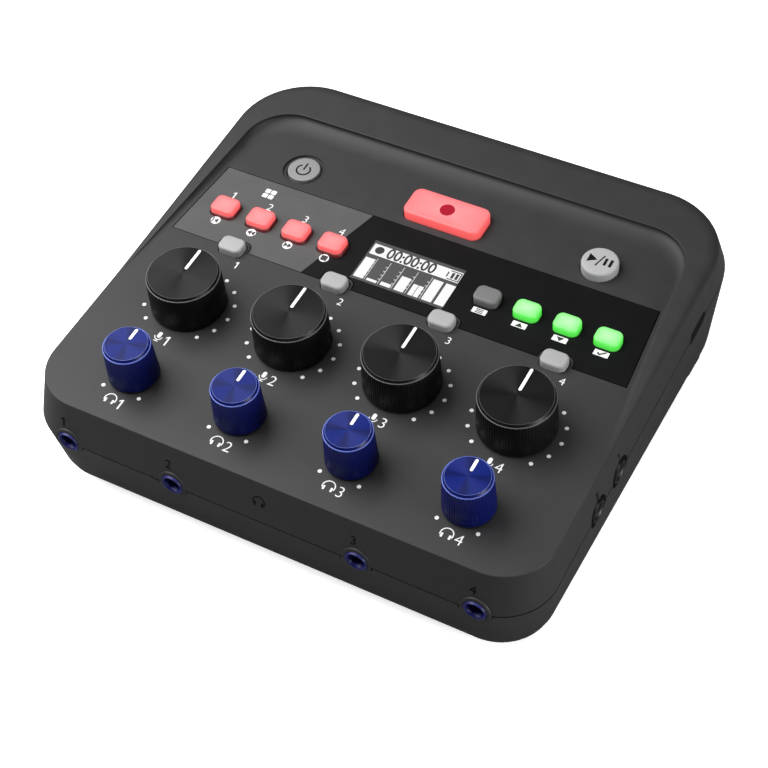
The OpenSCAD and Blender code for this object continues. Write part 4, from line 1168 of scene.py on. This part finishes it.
@dataclass(frozen=True)
class Ink:
    """A thin layer of print between two heights."""

    low: float
    high: float

    def fill(self, points: Sequence[Sequence[float]] | Array, x: float = 0.0, y: float = 0.0) -> Surface:
        """A patch inside a loop, shifted."""
        return prism(np.array(points) + [x, y], self.low, self.high)

    def box(self, x0: float, y0: float, x1: float, y1: float) -> Surface:
        """A rectangle between two corners."""
        return self.fill([(x0, y0), (x1, y0), (x1, y1), (x0, y1)])

    def bar(self, x: float, y: float, width: float, depth: float, corner: float, steps: int = 3) -> Surface:
        """A rectangle about its middle, with round corners."""
        return self.fill(round_rect(width, depth, corner, steps), x, y)

    def dot(self, x: float, y: float, radius: float, size: int = 28) -> Surface:
        """A round dot."""
        return self.fill(circle(radius, size), x, y)

    def band(self, radius: float, width: float, start: float, end: float) -> Surface:
        """A bent bar: the part of a ring between two angles in degrees."""
        angle = sweep(start, end, 26)
        arm = np.column_stack([np.cos(angle), np.sin(angle)])
        return self.fill(np.concatenate([arm * (radius + width / 2), (arm * (radius - width / 2))[::-1]]))

    def digits(self, text: str, size: float, bold: float = 0.0, stretch: float = 1.0) -> Surface:
        """Plain numbers, centred on the origin.

        Args:
            text: The numbers.
            size: Size of the type.
            bold: How far the strokes grow.
            stretch: Share that the height of the type is drawn out by.

        Returns:
            The mesh. A lone one is drawn here as a bar with a flag.
        """
        if text == "1":
            flag = [(-0.07, -0.5), (0.07, -0.5), (0.07, 0.5), (-0.05, 0.5), (-0.27, 0.33), (-0.27, 0.2),
                    (-0.07, 0.33)]
            return self.fill(np.array(flag) * size * 0.7)
        curve = bpy.data.curves.new("digits", "FONT")
        curve.body = text
        curve.size = size
        curve.offset = bold
        curve.align_x = "CENTER"
        curve.align_y = "CENTER"
        curve.extrude = (self.high - self.low) / 2
        obj = link("digits", curve)
        mesh = bpy.data.meshes.new_from_object(obj.evaluated_get(bpy.context.evaluated_depsgraph_get()))
        points = read(mesh.vertices, "co", float, 3)
        faces = [list(p.vertices) for p in mesh.polygons]
        bpy.data.objects.remove(obj)
        bpy.data.curves.remove(curve)
        bpy.data.meshes.remove(mesh)
        return Surface(points * [1.0, stretch, 1.0] + [0.0, 0.0, (self.low + self.high) / 2], faces)


def put_print(name: str, marks: Sequence[Surface], finish: Finish, body: str, slot: str) -> None:
    """Makes one piece of several marks and sets it on a body."""
    dress(Surface.joined(marks).piece(name, sharp=PRINT_SHARP), finish, body, slot)


@dataclass(frozen=True)
class DeckPrint:
    """Scale dots, numbers and plain symbols printed on the deck and the fascia."""

    ink: Ink = Ink(0.004, 0.022)
    over: Ink = Ink(0.022, 0.034)
    dot_r: float = 0.58
    scale_r: float = 13.0
    scale_step: float = 23.17
    phones_dots: tuple[float, float] = (5.8, -35.2)
    gain_row: float = -14.6
    phones_row: float = -39.0
    mute_row: float = 18.3
    number_row: float = 42.4
    number_start: float = -61.7
    tag_row: float = 31.3
    tag_start: float = -61.6
    tag_pitch: float = 12.25
    label_row: float = 31.7
    label_start: float = 24.5
    pitch: float = 12.2
    group: tuple[float, float] = (-52.5, 47.3)

    def knob_marks(self) -> list[Surface]:
        """Thirteen dots round each gain knob and two at each headphone knob."""
        r, turns = self.scale_r, np.radians(np.arange(-6, 7) * self.scale_step)
        spots = [(x + r * math.sin(t), r * math.cos(t)) for x in CHANNELS for t in turns]
        aside, row = self.phones_dots
        spots += [(x + side, row) for x in CHANNELS for side in (-aside, aside)]
        return [self.ink.dot(x, y, self.dot_r) for x, y in spots]

    def headset(self) -> Surface:
        """Headphone symbol, centred on its bow."""
        bow = self.ink.band(1.75, 0.3, -24.0, 204.0)
        cups = [self.ink.bar(s * 1.12, -0.72, 0.6, 1.35, 0.22) for s in (-1, 1)]
        return Surface.joined([bow, *cups])

    def microphone(self) -> Surface:
        """Microphone symbol."""
        head = self.ink.bar(0.0, 0.55, 1.15, 2.1, 0.55, 4)
        yoke = self.ink.band(1.15, 0.24, 180.0, 360.0)
        stem = self.ink.box(-0.12, -1.6, 0.12, -1.1)
        base = self.ink.box(-0.7, -1.84, 0.7, -1.6)
        return Surface.joined([head, yoke, stem, base])

    def channel_marks(self) -> list[Surface]:
        """Symbol and number of each channel at its three controls."""
        marks: list[Surface] = []
        for number, x in enumerate(CHANNELS, 1):
            digit = self.ink.digits(str(number), 4.8, -0.05)
            gain, phones = self.microphone(), self.headset()
            marks += [digit.moved(x + 1.7, self.gain_row), gain.moved(x - 1.4, self.gain_row + 0.6)]
            marks += [digit.moved(x + 2.3, self.phones_row), phones.moved(x - 1.3, self.phones_row + 0.5)]
            marks.append(self.ink.digits(str(number), 3.6, -0.03).moved(x + 4.6, self.mute_row))
        return marks

    def key_marks(self) -> list[Surface]:
        """Numbers over the pads, tags under the pads and the keys, and the symbol of the pad group."""
        ink, marks = self.ink, []
        for i in range(4):
            number = ink.digits(str(i + 1), 3.9, -0.04)
            marks.append(number.moved(self.number_start + self.pitch * i, self.number_row))
            marks.append(ink.dot(self.tag_start + self.tag_pitch * i, self.tag_row, 1.48))
            marks.append(ink.bar(self.label_start + self.pitch * i, self.label_row, 4.3, 2.0, 0.12))
        x, y = self.group
        shifts = (-0.98, 0.98)
        return marks + [ink.bar(x + sx, y + sy, 1.62, 1.62, 0.28) for sx in shifts for sy in shifts]

    def tag_marks(self) -> list[Surface]:
        """Dark symbols on the white tags."""
        ink, row = self.over, self.tag_row

        def arrow(x: float, sense: float) -> Surface:
            """An arrowhead that points right, or left where ``sense`` is negative."""
            tail = x - 0.55 * sense
            return ink.fill([(tail, row - 0.95), (x + 0.7 * sense, row), (tail, row + 0.95)])

        arrows = ((-61.35, -1), (-49.9, -1), (-48.7, -1), (-37.65, 1), (-36.45, 1))
        marks = [arrow(x, sense) for x, sense in arrows]
        bars = [(-62.5, row, 0.42, 1.9), (-24.85, row, 1.95, 1.95)]
        bars += [(self.label_start, self.label_row + d, 2.3, 0.32) for d in (-0.58, 0.0, 0.58)]
        marks += [ink.bar(*bar, 0.04, 2) for bar in bars]
        up = [(35.55, 31.0), (37.85, 31.0), (36.7, 32.5)]
        down = [(47.75, 32.4), (48.9, 30.9), (50.05, 32.4)]
        tick = [(60.7, 30.9), (62.5, 32.3), (62.15, 32.65), (60.7, 31.5), (60.25, 31.95), (59.8, 31.55)]
        return marks + [ink.fill(points) for points in (up, down, tick)]

    def dress(self, body: str) -> None:
        """Makes the white and the dark print."""
        white = [*self.knob_marks(), *self.channel_marks(), *self.key_marks()]
        put_print("deck_print", white, Finishes.ink, body, "fascia")
        put_print("tag_print", self.tag_marks(), Finishes.dark_ink, body, "fascia")


@dataclass(frozen=True)
class KeyPrint:
    """Symbols on the record, play and power buttons."""

    record: Ink = Ink(2.9, 3.0)
    play: Ink = Ink(2.812, 3.012)
    power: Ink = Ink(0.212, 0.312)

    def dress(self) -> None:
        """Makes each symbol and sets it on its button."""
        dot = self.record.dot(0.2, BACK_ROW, 2.25)
        dress(dot.piece("record_dot"), Finishes.record_dot, "record_key", "red_key")
        play = Surface.joined([
            self.play.fill([(-3.5, -1.6), (-0.8, -0.1), (-3.5, 1.4)]),
            self.play.fill([(-0.82, -2.25), (-0.46, -2.4), (0.84, 2.0), (0.48, 2.15)]),
            self.play.bar(1.6, 0.0, 0.75, 2.75, 0.05, 2),
            self.play.bar(3.2, 0.0, 0.75, 2.75, 0.05, 2)]).moved(SIDE_KEY, BACK_ROW)
        dress(play.piece("play_mark"), Finishes.engraving, "play_key", "grey_key")
        power = Surface.joined([
            self.power.band(2.1, 0.5, 125.0, 415.0).moved(0.0, -0.35),
            self.power.bar(0.0, 1.15, 0.5, 3.0, 0.2)]).moved(-SIDE_KEY, BACK_ROW)
        dress(power.piece("power_mark"), Finishes.engraving, "power_key", "dark_key")


@dataclass(frozen=True)
class Screen:
    """The display: a dark glossy window with a status bar and level bars."""

    width: float = 29.2
    depth: float = 15.8
    middle: float = 36.0
    thickness: float = 1.2
    slack: float = 0.1
    bevel: float = 0.08
    bar_foot: float = 28.9
    scale_top: float = 37.6
    ink: Ink = Ink(0.004, 0.014)
    over: Ink = Ink(0.014, 0.024)

    def loop(self, grow: float, corner: float) -> Array:
        """Outline of the window, grown by a margin."""
        return round_rect(self.width + 2 * grow, self.depth + 2 * grow, corner, 3) + [0.0, self.middle]

    def hole(self, edge: float) -> Opening:
        """The hole in the fascia that the window sits in."""
        top, wall = (self.loop(self.slack / 2 + e, 0.2 + e) for e in (edge, 0.0))
        return Opening(top, wall, edge)

    def bars(self) -> list[Surface]:
        """Level bars as (middle, half width, height)."""
        rows = [(-12.5, 1.55, 8.0), (-8.3, 1.6, 0.9), (-3.9, 1.6, 1.3), (0.4, 1.5, 5.6), (4.05, 0.75, 4.3),
                (5.75, 0.75, 4.3), (9.2, 1.55, 8.3), (13.1, 1.5, 8.3)]
        return [self.ink.box(x - w, self.bar_foot, x + w, self.bar_foot + h) for x, w, h in rows]

    def scales(self) -> list[Surface]:
        """Thin scale lines between the bars, each with ticks."""
        lines: list[Surface] = []
        for x in (-10.5, -6.2, -1.9, 2.5, 7.1):
            lines.append(self.ink.box(x - 0.1, self.bar_foot, x + 0.1, self.scale_top))
            lines += [self.ink.box(x - 0.7, y, x - 0.1, y + 0.3) for y in (30.5, 32.1, 33.7, 35.3)]
        return lines

    def status(self) -> list[Surface]:
        """Dark signs on the status bar: a dot, a counter at zero and a battery."""
        dot = self.over.dot(-11.6, 40.6, 1.4, 30)
        counter = self.over.digits("00:00:00", 4.5, 0.09, 1.22).moved(-1.3, 40.45)
        battery = [(11.45, 39.4, 12.3, 41.6), (12.75, 39.4, 13.6, 41.6), (10.7, 38.75, 14.3, 39.1),
                   (10.7, 41.9, 14.3, 42.25), (13.95, 39.1, 14.3, 41.9), (10.1, 39.5, 10.5, 41.5)]
        return [dot, counter, *(self.over.box(*patch) for patch in battery)]

    def dress(self, body: str) -> None:
        """Makes the window and the picture on it."""
        rows = ((0.0, -self.thickness), (0.0, -self.bevel), (-self.bevel, 0.0))
        glass = stacked([(self.loop(grow, 0.15), z) for grow, z in rows])
        dress(glass.piece("window_look"), Finishes.window, body, "window", ["display_window"])
        bright = [self.ink.box(-14.0, 38.45, 14.45, 42.6), *self.bars()]
        put_print("screen_bright", bright, Finishes.screen, body, "window")
        put_print("screen_lines", self.scales(), Finishes.screen_line, body, "window")
        put_print("screen_signs", self.status(), Finishes.dark_ink, body, "window")


# Sockets and feet


class Wall(Enum):
    """Walls that sockets point out of.

    Each has its axes in the deck plane, a point on the parting line, its running axis and its lean.
    """

    FRONT = (((1, 0, 0), (0, 0, 1), (0, -1, 0)), (0.0, -49.0, PARTING), 0, 16.8)
    RIGHT = (((0, 1, 0), (0, 0, 1), (1, 0, 0)), (78.1, 0.0, PARTING), 1, 6.1)
    LEFT = (((0, -1, 0), (0, 0, 1), (-1, 0, 0)), (-78.1, 0.0, PARTING), 1, 6.1)

    @property
    def lean(self) -> float:
        """How far the wall of the upper shell leans in, in degrees."""
        return self.value[3]

    def set(self, surface: Surface, along: float) -> Surface:
        """A surface drawn along +z, pointing out of the wall at a place along it."""
        columns, offset, axis, _ = self.value
        place = list(offset)
        place[axis] = along
        return surface.turned(columns, place)

    def row(self, surface: Surface, places: Sequence[float]) -> Surface:
        """Copies of a surface at several places along the wall."""
        return Surface.joined([self.set(surface, along) for along in places])


FRONT_SOCKETS = (-62.2, -28.2, 28.2, 62.2)
SIDE_SOCKETS = (6.2, -7.9)

# Width, height and corner radius
PORT_HOLE = (11.0, 5.2, 1.6)
CARD_HOLE = (12.6, 2.6, 0.5)
SOCKET_BLOCK = (6.4, 6.0, 0.3)
PORT_TONGUE = (6.6, 0.7, 0.1)


@dataclass(frozen=True)
class RoundSocket:
    """A round plug socket: a collar with a funnel, and a body with a bore behind it."""

    collar_r: float = 3.3
    collar_low: float = -4.0
    funnel_r: float = 2.05
    bore_r: float = 1.8
    bore_end: float = -13.3
    nose_r: float = 2.04
    nose: float = -2.1
    slack: float = 0.12
    scallop_r: float = 4.8
    scallop: float = 1.6
    face: float = 0.06
    boss_r: float = 4.4
    boss_lean: float = 0.17
    lower_lean: float = 4.0
    set_back: float = 4.36
    length: float = 10.0
    cut_low: float = -7.2
    cut_high: float = 3.0

    def collar(self) -> Surface:
        """Lathe profile of the collar, its inside narrowing like a funnel, closed into a ring."""
        r, f, low = self.collar_r, self.face, self.collar_low
        rows = [(self.funnel_r, low), (r, low), (r, f - 0.2), (r - 0.06, f - 0.05), (r - 0.16, f),
                (r - 0.36, f), (r - 0.48, f - 0.08), (2.5, f - 0.5), (2.36, f - 1.6), (self.funnel_r, low)]
        return lathe(rows, start=False, end=False)

    def core(self) -> Surface:
        """Body with its bore: from the back of the block to the nose and down the bore."""
        block, back = round_rect(*SOCKET_BLOCK, 15), -self.set_back
        nose, bore = circle(self.nose_r, 64), circle(self.bore_r, 64)
        return stacked([(block, back - self.length), (block, back), (nose, back), (nose, self.nose),
                        (bore, self.nose), (bore, self.bore_end)])

    def hole(self, open_recess: bool) -> Surface:
        """Hole that the upper shell's wall has for the collar, with or without the wide recess round it."""
        inner = self.collar_r + self.slack
        outer = self.scallop_r if open_recess else inner
        step = -self.scallop
        return lathe([(inner, -8.8), (inner, step), (outer, step + 0.01), (outer, self.cut_high)])

    def boss(self) -> Surface:
        """Ring round the collar.

        Over the parting line it stands out from the upper shell's leaning wall, and under that line
        it is flush with the lower shell's.
        """
        a, r, back = self.collar_r + self.slack, self.boss_r, -self.scallop
        rows = [(a, back), (r, back), (r, -0.16), (r - 0.04, -0.07), (r - 0.14, -0.03), (a, -0.03), (a, back)]
        ring = lathe(rows, start=False, end=False)
        x, y, z = ring.points.T
        low = np.minimum(y, 0.0)
        rim = np.clip(-2.0 * y / r, 0.0, 1.0) * (np.hypot(x, y) > r - 0.5)
        wide = 1.0 + (self.scallop_r - r) / r * rim
        sink = (low * math.tan(math.radians(self.lower_lean)) - (y - low) * self.boss_lean) * (z > back)
        return Surface(np.column_stack([x * wide, y * wide, z + sink]), ring.faces)

    def wall_cuts(self) -> Surface:
        """Everything that is cut out of the upper shell's walls."""
        port = prism(round_rect(*PORT_HOLE, 6), self.cut_low, self.cut_high)
        card = prism(round_rect(*CARD_HOLE, 6), self.cut_low, self.cut_high)
        return Surface.joined([
            Wall.FRONT.row(self.hole(False), FRONT_SOCKETS), Wall.RIGHT.row(self.hole(True), SIDE_SOCKETS),
            Wall.RIGHT.set(port, PORT_PLACE), Wall.LEFT.set(card, CARD_PLACE)])

    def dress(self, body: str) -> None:
        """Makes the front and side sockets."""
        rows = ((Wall.FRONT, FRONT_SOCKETS, "front", "phones", Finishes.collar, "collar"),
                (Wall.RIGHT, SIDE_SOCKETS, "side", "line", Finishes.socket, "socket"))
        for wall, places, side, kind, finish, slot in rows:
            collars = wall.row(self.collar(), places).piece(f"{side}_collars")
            dress(collars, finish, body, slot, [f"{kind}_collars"])
            cores = wall.row(self.core(), places).piece(f"{side}_cores")
            dress(cores, Finishes.socket, body, "socket", [f"{kind}_jacks"])
        bosses = Wall.FRONT.row(self.boss(), FRONT_SOCKETS)
        dress(bosses.piece("socket_bosses", sharp=PRINT_SHARP), Finishes.case, body, "case")


@dataclass(frozen=True)
class MicSocket:
    """A round microphone socket in the back wall: barrel, contact insert and three sleeves."""

    barrel_r: float = 11.48
    bore_r: float = 9.6
    insert_r: float = 7.8
    depth: float = 13.0
    length: float = 22.0
    contact_r: float = 4.1

    def barrel(self) -> Surface:
        """Barrel with a softened lip."""
        r, b = self.barrel_r, self.bore_r
        rows = [(r, -self.length), (r, -0.35), (r - 0.1, -0.1), (r - 0.35, 0.0), (b + 0.4, 0.0),
                (b + 0.12, -0.12), (b, -0.4), (b, -self.depth)]
        return lathe(rows, 96)

    def insert(self) -> Surface:
        """Insert with a shallow rim."""
        r = self.insert_r
        rows = [(r, -self.depth), (r, -1.5), (r - 0.1, -1.28), (r - 0.3, -1.2), (r - 0.8, -1.2),
                (r - 0.9, -1.4), (0.4, -1.4)]
        return lathe(rows, 96)

    def contacts(self) -> Surface:
        """Three sleeves on the insert's face."""
        rows = [(1.4, -2.4), (1.4, -1.36), (1.28, -1.3), (1.02, -1.3), (0.95, -1.36), (0.95, -2.4)]
        sleeve, r = lathe(rows, 32, start=False), self.contact_r
        turns = np.radians([30.0, 150.0, 270.0])
        return Surface.joined([sleeve.moved(r * math.cos(t), r * math.sin(t)) for t in turns])

    def dress(self, body: str) -> None:
        """Makes the four sockets, each barrel a piece of its own."""
        columns = ((1, 0, 0), (0, 0, -1), (0, 1, 0))
        face_y, axis_z = self.place()
        inserts: list[Surface] = []
        sleeves: list[Surface] = []
        for number, x in enumerate(CHANNELS, 1):
            at = (x, face_y, axis_z)
            barrel = self.barrel().turned(columns, at).piece(f"mic_barrel_{number}", ROW)
            dress(barrel, Finishes.socket, body, "socket", [f"mic_socket_{number}"])
            inserts.append(self.insert().turned(columns, at))
            sleeves.append(self.contacts().turned(columns, at))
        faces = Surface.joined(inserts).piece("mic_insert_faces", ROW)
        dress(faces, Finishes.socket, body, "socket", ["mic_inserts"])
        dress(Surface.joined(sleeves).piece("mic_sleeves", ROW), Finishes.metal, body, "socket")

    @staticmethod
    def place() -> tuple[float, float]:
        """Row-frame y of the sockets' faces and z of their axes, from the CAD barrel's box."""
        low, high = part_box("mic_socket_1")
        return high.y / MM, (low.z + high.z) / 2 / MM


@dataclass(frozen=True)
class Feet:
    """Rubber feet: pads with a rolled lower edge, cut to the slope of the base."""

    base_half: float = 66.6
    base_round: float = 10.0
    corner: float = 4.5
    roll: float = 0.45

    def pad(self, width: float, depth: float, x: float, y: float) -> Surface:
        """One pad, standing on the desk under the base plane."""
        def outline(inset: float) -> Array:
            """The pad's outline, set in by a margin."""
            return round_rect(width - 2 * inset, depth - 2 * inset, self.corner - inset, 10) + [x, y]

        rows = [lift(outline(self.roll * (1 - math.cos(a))), self.roll * (1 - math.sin(a)))
                for a in sweep(90.0, 0.0, 5)]
        loop = outline(0.0)
        slope = math.tan(math.radians(BASE.tilt))
        past = np.clip(np.abs(loop[:, 0]) - self.base_half, 0.0, self.base_round)
        rise = self.base_round - np.sqrt(self.base_round ** 2 - past ** 2)
        top = np.column_stack([loop, BASE.origin[2] + (loop[:, 1] - BASE.origin[1]) * slope + rise])
        return loft([*rows, top], True, True)

    def dress(self, body: str) -> None:
        """Makes the front pair and the back pair from the CAD feet's boxes."""
        for node, width, depth, reach in (("front_feet", 14.0, 10.5, 68.0), ("rear_feet", 19.0, 17.0, 73.4)):
            low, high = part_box(node)
            y = (low.y + high.y) / 2 / MM
            x = reach - width / 2
            pair = Surface.joined([self.pad(width, depth, s * x, y) for s in (-1, 1)])
            dress(pair.piece(f"{node}_look", ROW), Finishes.rubber, body, "foot", [node])


@dataclass(frozen=True)
class Port:
    """The supply port: a steel shell with a rounded mouth and a tongue inside."""

    width: float = 9.0
    height: float = 3.2
    wall: float = 0.4
    mouth: float = -1.4
    length: float = 14.4
    floor: float = 1.0
    lip: float = 0.12
    tongue: float = -2.2

    def dress(self, body: str) -> None:
        """Makes the shell and the tongue."""
        def ring(inset: float, z: float) -> tuple[Array, float]:
            """The shell's outline, set in by a margin, at a height."""
            width, height = self.width - 2 * inset, self.height - 2 * inset
            return round_rect(width, height, height / 2 - 0.01, 10), z

        lip, low = self.mouth - self.lip, self.floor - self.length
        rows = [ring(0.0, -self.length), ring(0.0, lip), ring(0.1, self.mouth),
                ring(self.wall - 0.1, self.mouth), ring(self.wall, lip), ring(self.wall, low)]
        shell = Wall.RIGHT.set(stacked(rows), PORT_PLACE)
        dress(shell.piece("port_shell"), Finishes.port, body, "port", ["usb_socket"])
        tongue = Wall.RIGHT.set(prism(round_rect(*PORT_TONGUE, 4), low, self.tongue), PORT_PLACE)
        dress(tongue.piece("port_tongue"), Finishes.socket, body, "port")


@dataclass(frozen=True)
class WallMarks:
    """Numbers and a headphone symbol on the front wall and the right wall over their sockets."""

    rise: float = 6.7
    size: float = 4.0
    out: float = 0.1
    beside: float = -1.15
    side_share: float = 0.8

    def dress(self, body: str) -> None:
        """Makes the marks on the leaning front and right walls."""
        ink, side_size = Ink(0.0, self.out), self.size * self.side_share
        front = [(x + self.beside, ink.digits(str(i), self.size)) for i, x in enumerate(FRONT_SOCKETS, 1)]
        front.append((self.beside, DeckPrint(ink).headset()))
        side = [(y, ink.digits(str(i), side_size)) for i, y in enumerate(SIDE_SOCKETS, 1)]
        marks = [wall.set(mark.moved(0.0, self.rise).tipped(wall.lean), along)
                 for wall, row in ((Wall.FRONT, front), (Wall.RIGHT, side)) for along, mark in row]
        put_print("wall_marks", marks, Finishes.engraving, body, "case")


def dress_inside() -> None:
    """Finishes for the CAD nodes that are shown as they are."""
    plain: dict[str, Finish] = {
        "display_module": Finishes.plain, "main_board": Finishes.board, "gain_pots": Finishes.metal,
        "phones_pots": Finishes.metal, "key_switches": Finishes.plain, "key_lights": Finishes.light,
        "card_socket": Finishes.port, "battery_contacts": Finishes.contact, "case_screws": Finishes.screw,
        "board_screws": Finishes.metal, "battery_door": Finishes.case,
    }
    plain.update({f"{kind}_shaft_{i}": Finishes.metal for kind in ("gain", "phones") for i in range(1, 5)})
    for node, finish in plain.items():
        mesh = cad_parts[node].data
        mesh.materials.clear()
        mesh.materials.append(finish.material())


# Studio


@dataclass(frozen=True)
class Lamp:
    """A soft rectangular lamp, aimed at a point."""

    name: str
    place: tuple[float, float, float]
    aim: tuple[float, float, float]
    size: tuple[float, float]
    power: float

    def build(self) -> None:
        """Adds the lamp to the scene."""
        data = bpy.data.lights.new(self.name, "AREA")
        data.shape = "RECTANGLE"
        data.size, data.size_y = self.size
        data.energy = self.power
        obj = link(self.name, data)
        obj.visible_camera = False
        obj.location = self.place
        obj.rotation_euler = (Vector(self.aim) - Vector(self.place)).to_track_quat("-Z", "Y").to_euler()


@dataclass(frozen=True)
class Studio:
    """Camera, lamps, world and floor."""

    camera_place: tuple[float, float, float] = (0.168206, -0.315212, 0.363032)
    right: tuple[float, float, float] = (0.88097, 0.47313, -0.00730)
    up: tuple[float, float, float] = (-0.32890, 0.62336, 0.70940)
    view: tuple[float, float, float] = (-0.34018, 0.62255, -0.70477)
    lens: float = 79.61
    ambient: float = 0.06
    floor_glow: float = 0.7
    floor_bounce: float = 0.26
    floor_shade: float = 0.86

    def build(self) -> None:
        """Sets up the whole studio."""
        self.camera()
        self.world()
        self.floor()
        lamps = (
            Lamp("Key", (-0.27, -0.08, 0.34), (-0.08, -0.03, 0.03), (0.42, 0.42), 4.1),
            Lamp("Front fill", (0.12, -0.04, 0.36), (0.05, -0.06, 0.03), (0.3, 0.3), 0.45),
            Lamp("Right lamp", (0.42, -0.1, 0.12), (0.07, -0.05, 0.03), (0.15, 0.15), 1.3),
        )
        for lamp in lamps:
            lamp.build()
        bpy.context.scene.view_settings.view_transform = "Standard"

    def camera(self) -> None:
        """The camera that matches the photo."""
        data = bpy.data.cameras.new("Camera")
        data.lens = self.lens
        data.sensor_width = 36.0
        data.dof.use_dof = False
        data.clip_start = 0.01
        obj = link("Camera", data)
        turn = Matrix((self.right, self.up, tuple(-c for c in self.view))).transposed()
        obj.matrix_world = Matrix.Translation(self.camera_place) @ turn.to_4x4()
        bpy.context.scene.camera = obj

    def world(self) -> None:
        """Even grey light, and white where the camera looks past the floor."""
        world = bpy.data.worlds.new("Studio")
        world.use_nodes = True
        bpy.context.scene.world = world
        tree = Tree(world.node_tree)
        seen = tree.add("ShaderNodeLightPath").outputs["Is Camera Ray"]
        light = tree.mix(seen, (self.ambient,) * 3, (1.0, 1.0, 1.0))
        tree.feed(world.node_tree.nodes["Background"].inputs["Color"], light)

    def floor(self) -> None:
        """A pale floor that keeps the object's shadow."""
        loop = round_rect(4000.0, 4000.0, 10.0, 2)
        obj = prism(loop, -4.0, 0.0).piece("Floor", ROW)
        mat = bpy.data.materials.new("Floor")
        mat.use_nodes = True
        tree = Tree(mat.node_tree)
        shader = mat.node_tree.nodes["Principled BSDF"]
        shader.inputs["Roughness"].default_value = 0.9
        shader.inputs["Specular IOR Level"].default_value = 0.0
        seen = tree.add("ShaderNodeLightPath").outputs["Is Camera Ray"]
        shade = tree.mix(seen, (self.floor_bounce,) * 3, (self.floor_shade,) * 3)
        tree.feed(shader.inputs["Base Color"], shade)
        tree.feed(shader.inputs["Emission Color"], (1.0, 1.0, 1.0))
        tree.feed(shader.inputs["Emission Strength"], tree.math("MULTIPLY", seen, self.floor_glow))
        obj.data.materials.append(mat)


class Recorder:
    """The whole recorder."""

    body = "case"
    well_r = 6.4
    shaft_r = 3.6

    def build(self) -> None:
        """Makes every piece and sets it on its body."""
        caps = key_caps()
        screen, sockets = Screen(), RoundSocket()
        self.shells(caps, screen, sockets)
        self.power_well()
        for cap in caps:
            cap.dress()
        self.knobs()
        for part in (screen, DeckPrint(), sockets, MicSocket(), Feet(), Port(), WallMarks()):
            part.dress(self.body)
        KeyPrint().dress()
        dress_inside()

    def shells(self, caps: Sequence[KeyCap], screen: Screen, sockets: RoundSocket) -> None:
        """Makes both shells and the fascia, with the holes that the controls and sockets need."""
        shell, fascia = UpperShell(), Fascia()
        on_fascia = [c for c in caps if c.centre[1] in (PAD_ROW, KEY_ROW)]
        on_deck = [c for c in caps if c not in on_fascia and c.node != "power_button"]
        holes = [c.hole(shell.hole_edge) for c in on_deck]
        rounds = [(self.well_r, -SIDE_KEY, BACK_ROW)]
        rounds += [(self.shaft_r, x, y) for x in CHANNELS for y in (0.0, PHONES_ROW)]
        for radius, x, y in rounds:
            top, wall = (circle(r, 48) + [x, y] for r in (radius + shell.hole_edge, radius))
            holes.append(Opening(top, wall, shell.hole_edge))
        pocket = Opening(fascia.loop(fascia.gap + fascia.edge), fascia.loop(fascia.gap), fascia.edge)
        walls = [c.hole(0.0).wall for c in on_fascia]
        shell.build(holes, pocket, walls, fascia.thickness, sockets.wall_cuts(), self.body)
        fascia.build([c.hole(fascia.edge) for c in on_fascia] + [screen.hole(fascia.edge)], self.body)
        lower_shell(self.body)

    @staticmethod
    def knobs() -> None:
        """Makes the gain knob and the headphone knob of each channel."""
        for i, x in enumerate(CHANNELS, 1):
            RibbedKnob(
                i, "gain", (x, 0.0), foot_r=10.9, height=12.9, ribs=84, side=Finishes.gain_side,
                disc=Finishes.gain_disc, pointer_in=1.5, painted_highlight=Finishes.gain_painted_highlight, bevel=0.72).dress()
            RibbedKnob(
                i, "phones", (x, PHONES_ROW), foot_r=7.15, height=13.0, ribs=56, side=Finishes.phones_side,
                disc=Finishes.phones_disc, pointer_in=1.6, painted_highlight=Finishes.phones_painted_highlight, lean=0.5,
                bevel=0.7).dress()

    def power_well(self) -> None:
        """The recess round the power button: a ring-shaped step under the deck."""
        rows = [(5.34, -2.38), (6.39, -2.38), (6.39, -0.6), (5.44, -0.6), (5.34, -0.7), (5.34, -2.38)]
        ring = lathe(rows, start=False, end=False).moved(-SIDE_KEY, BACK_ROW)
        dress(ring.piece("power_well"), Finishes.case, self.body, "case")


def main() -> None:
    """Builds the recorder and its studio."""
    logging.basicConfig(level=logging.INFO)
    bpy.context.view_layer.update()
    Recorder().build()
    Studio().build()


if __name__ == "__main__":
    main()
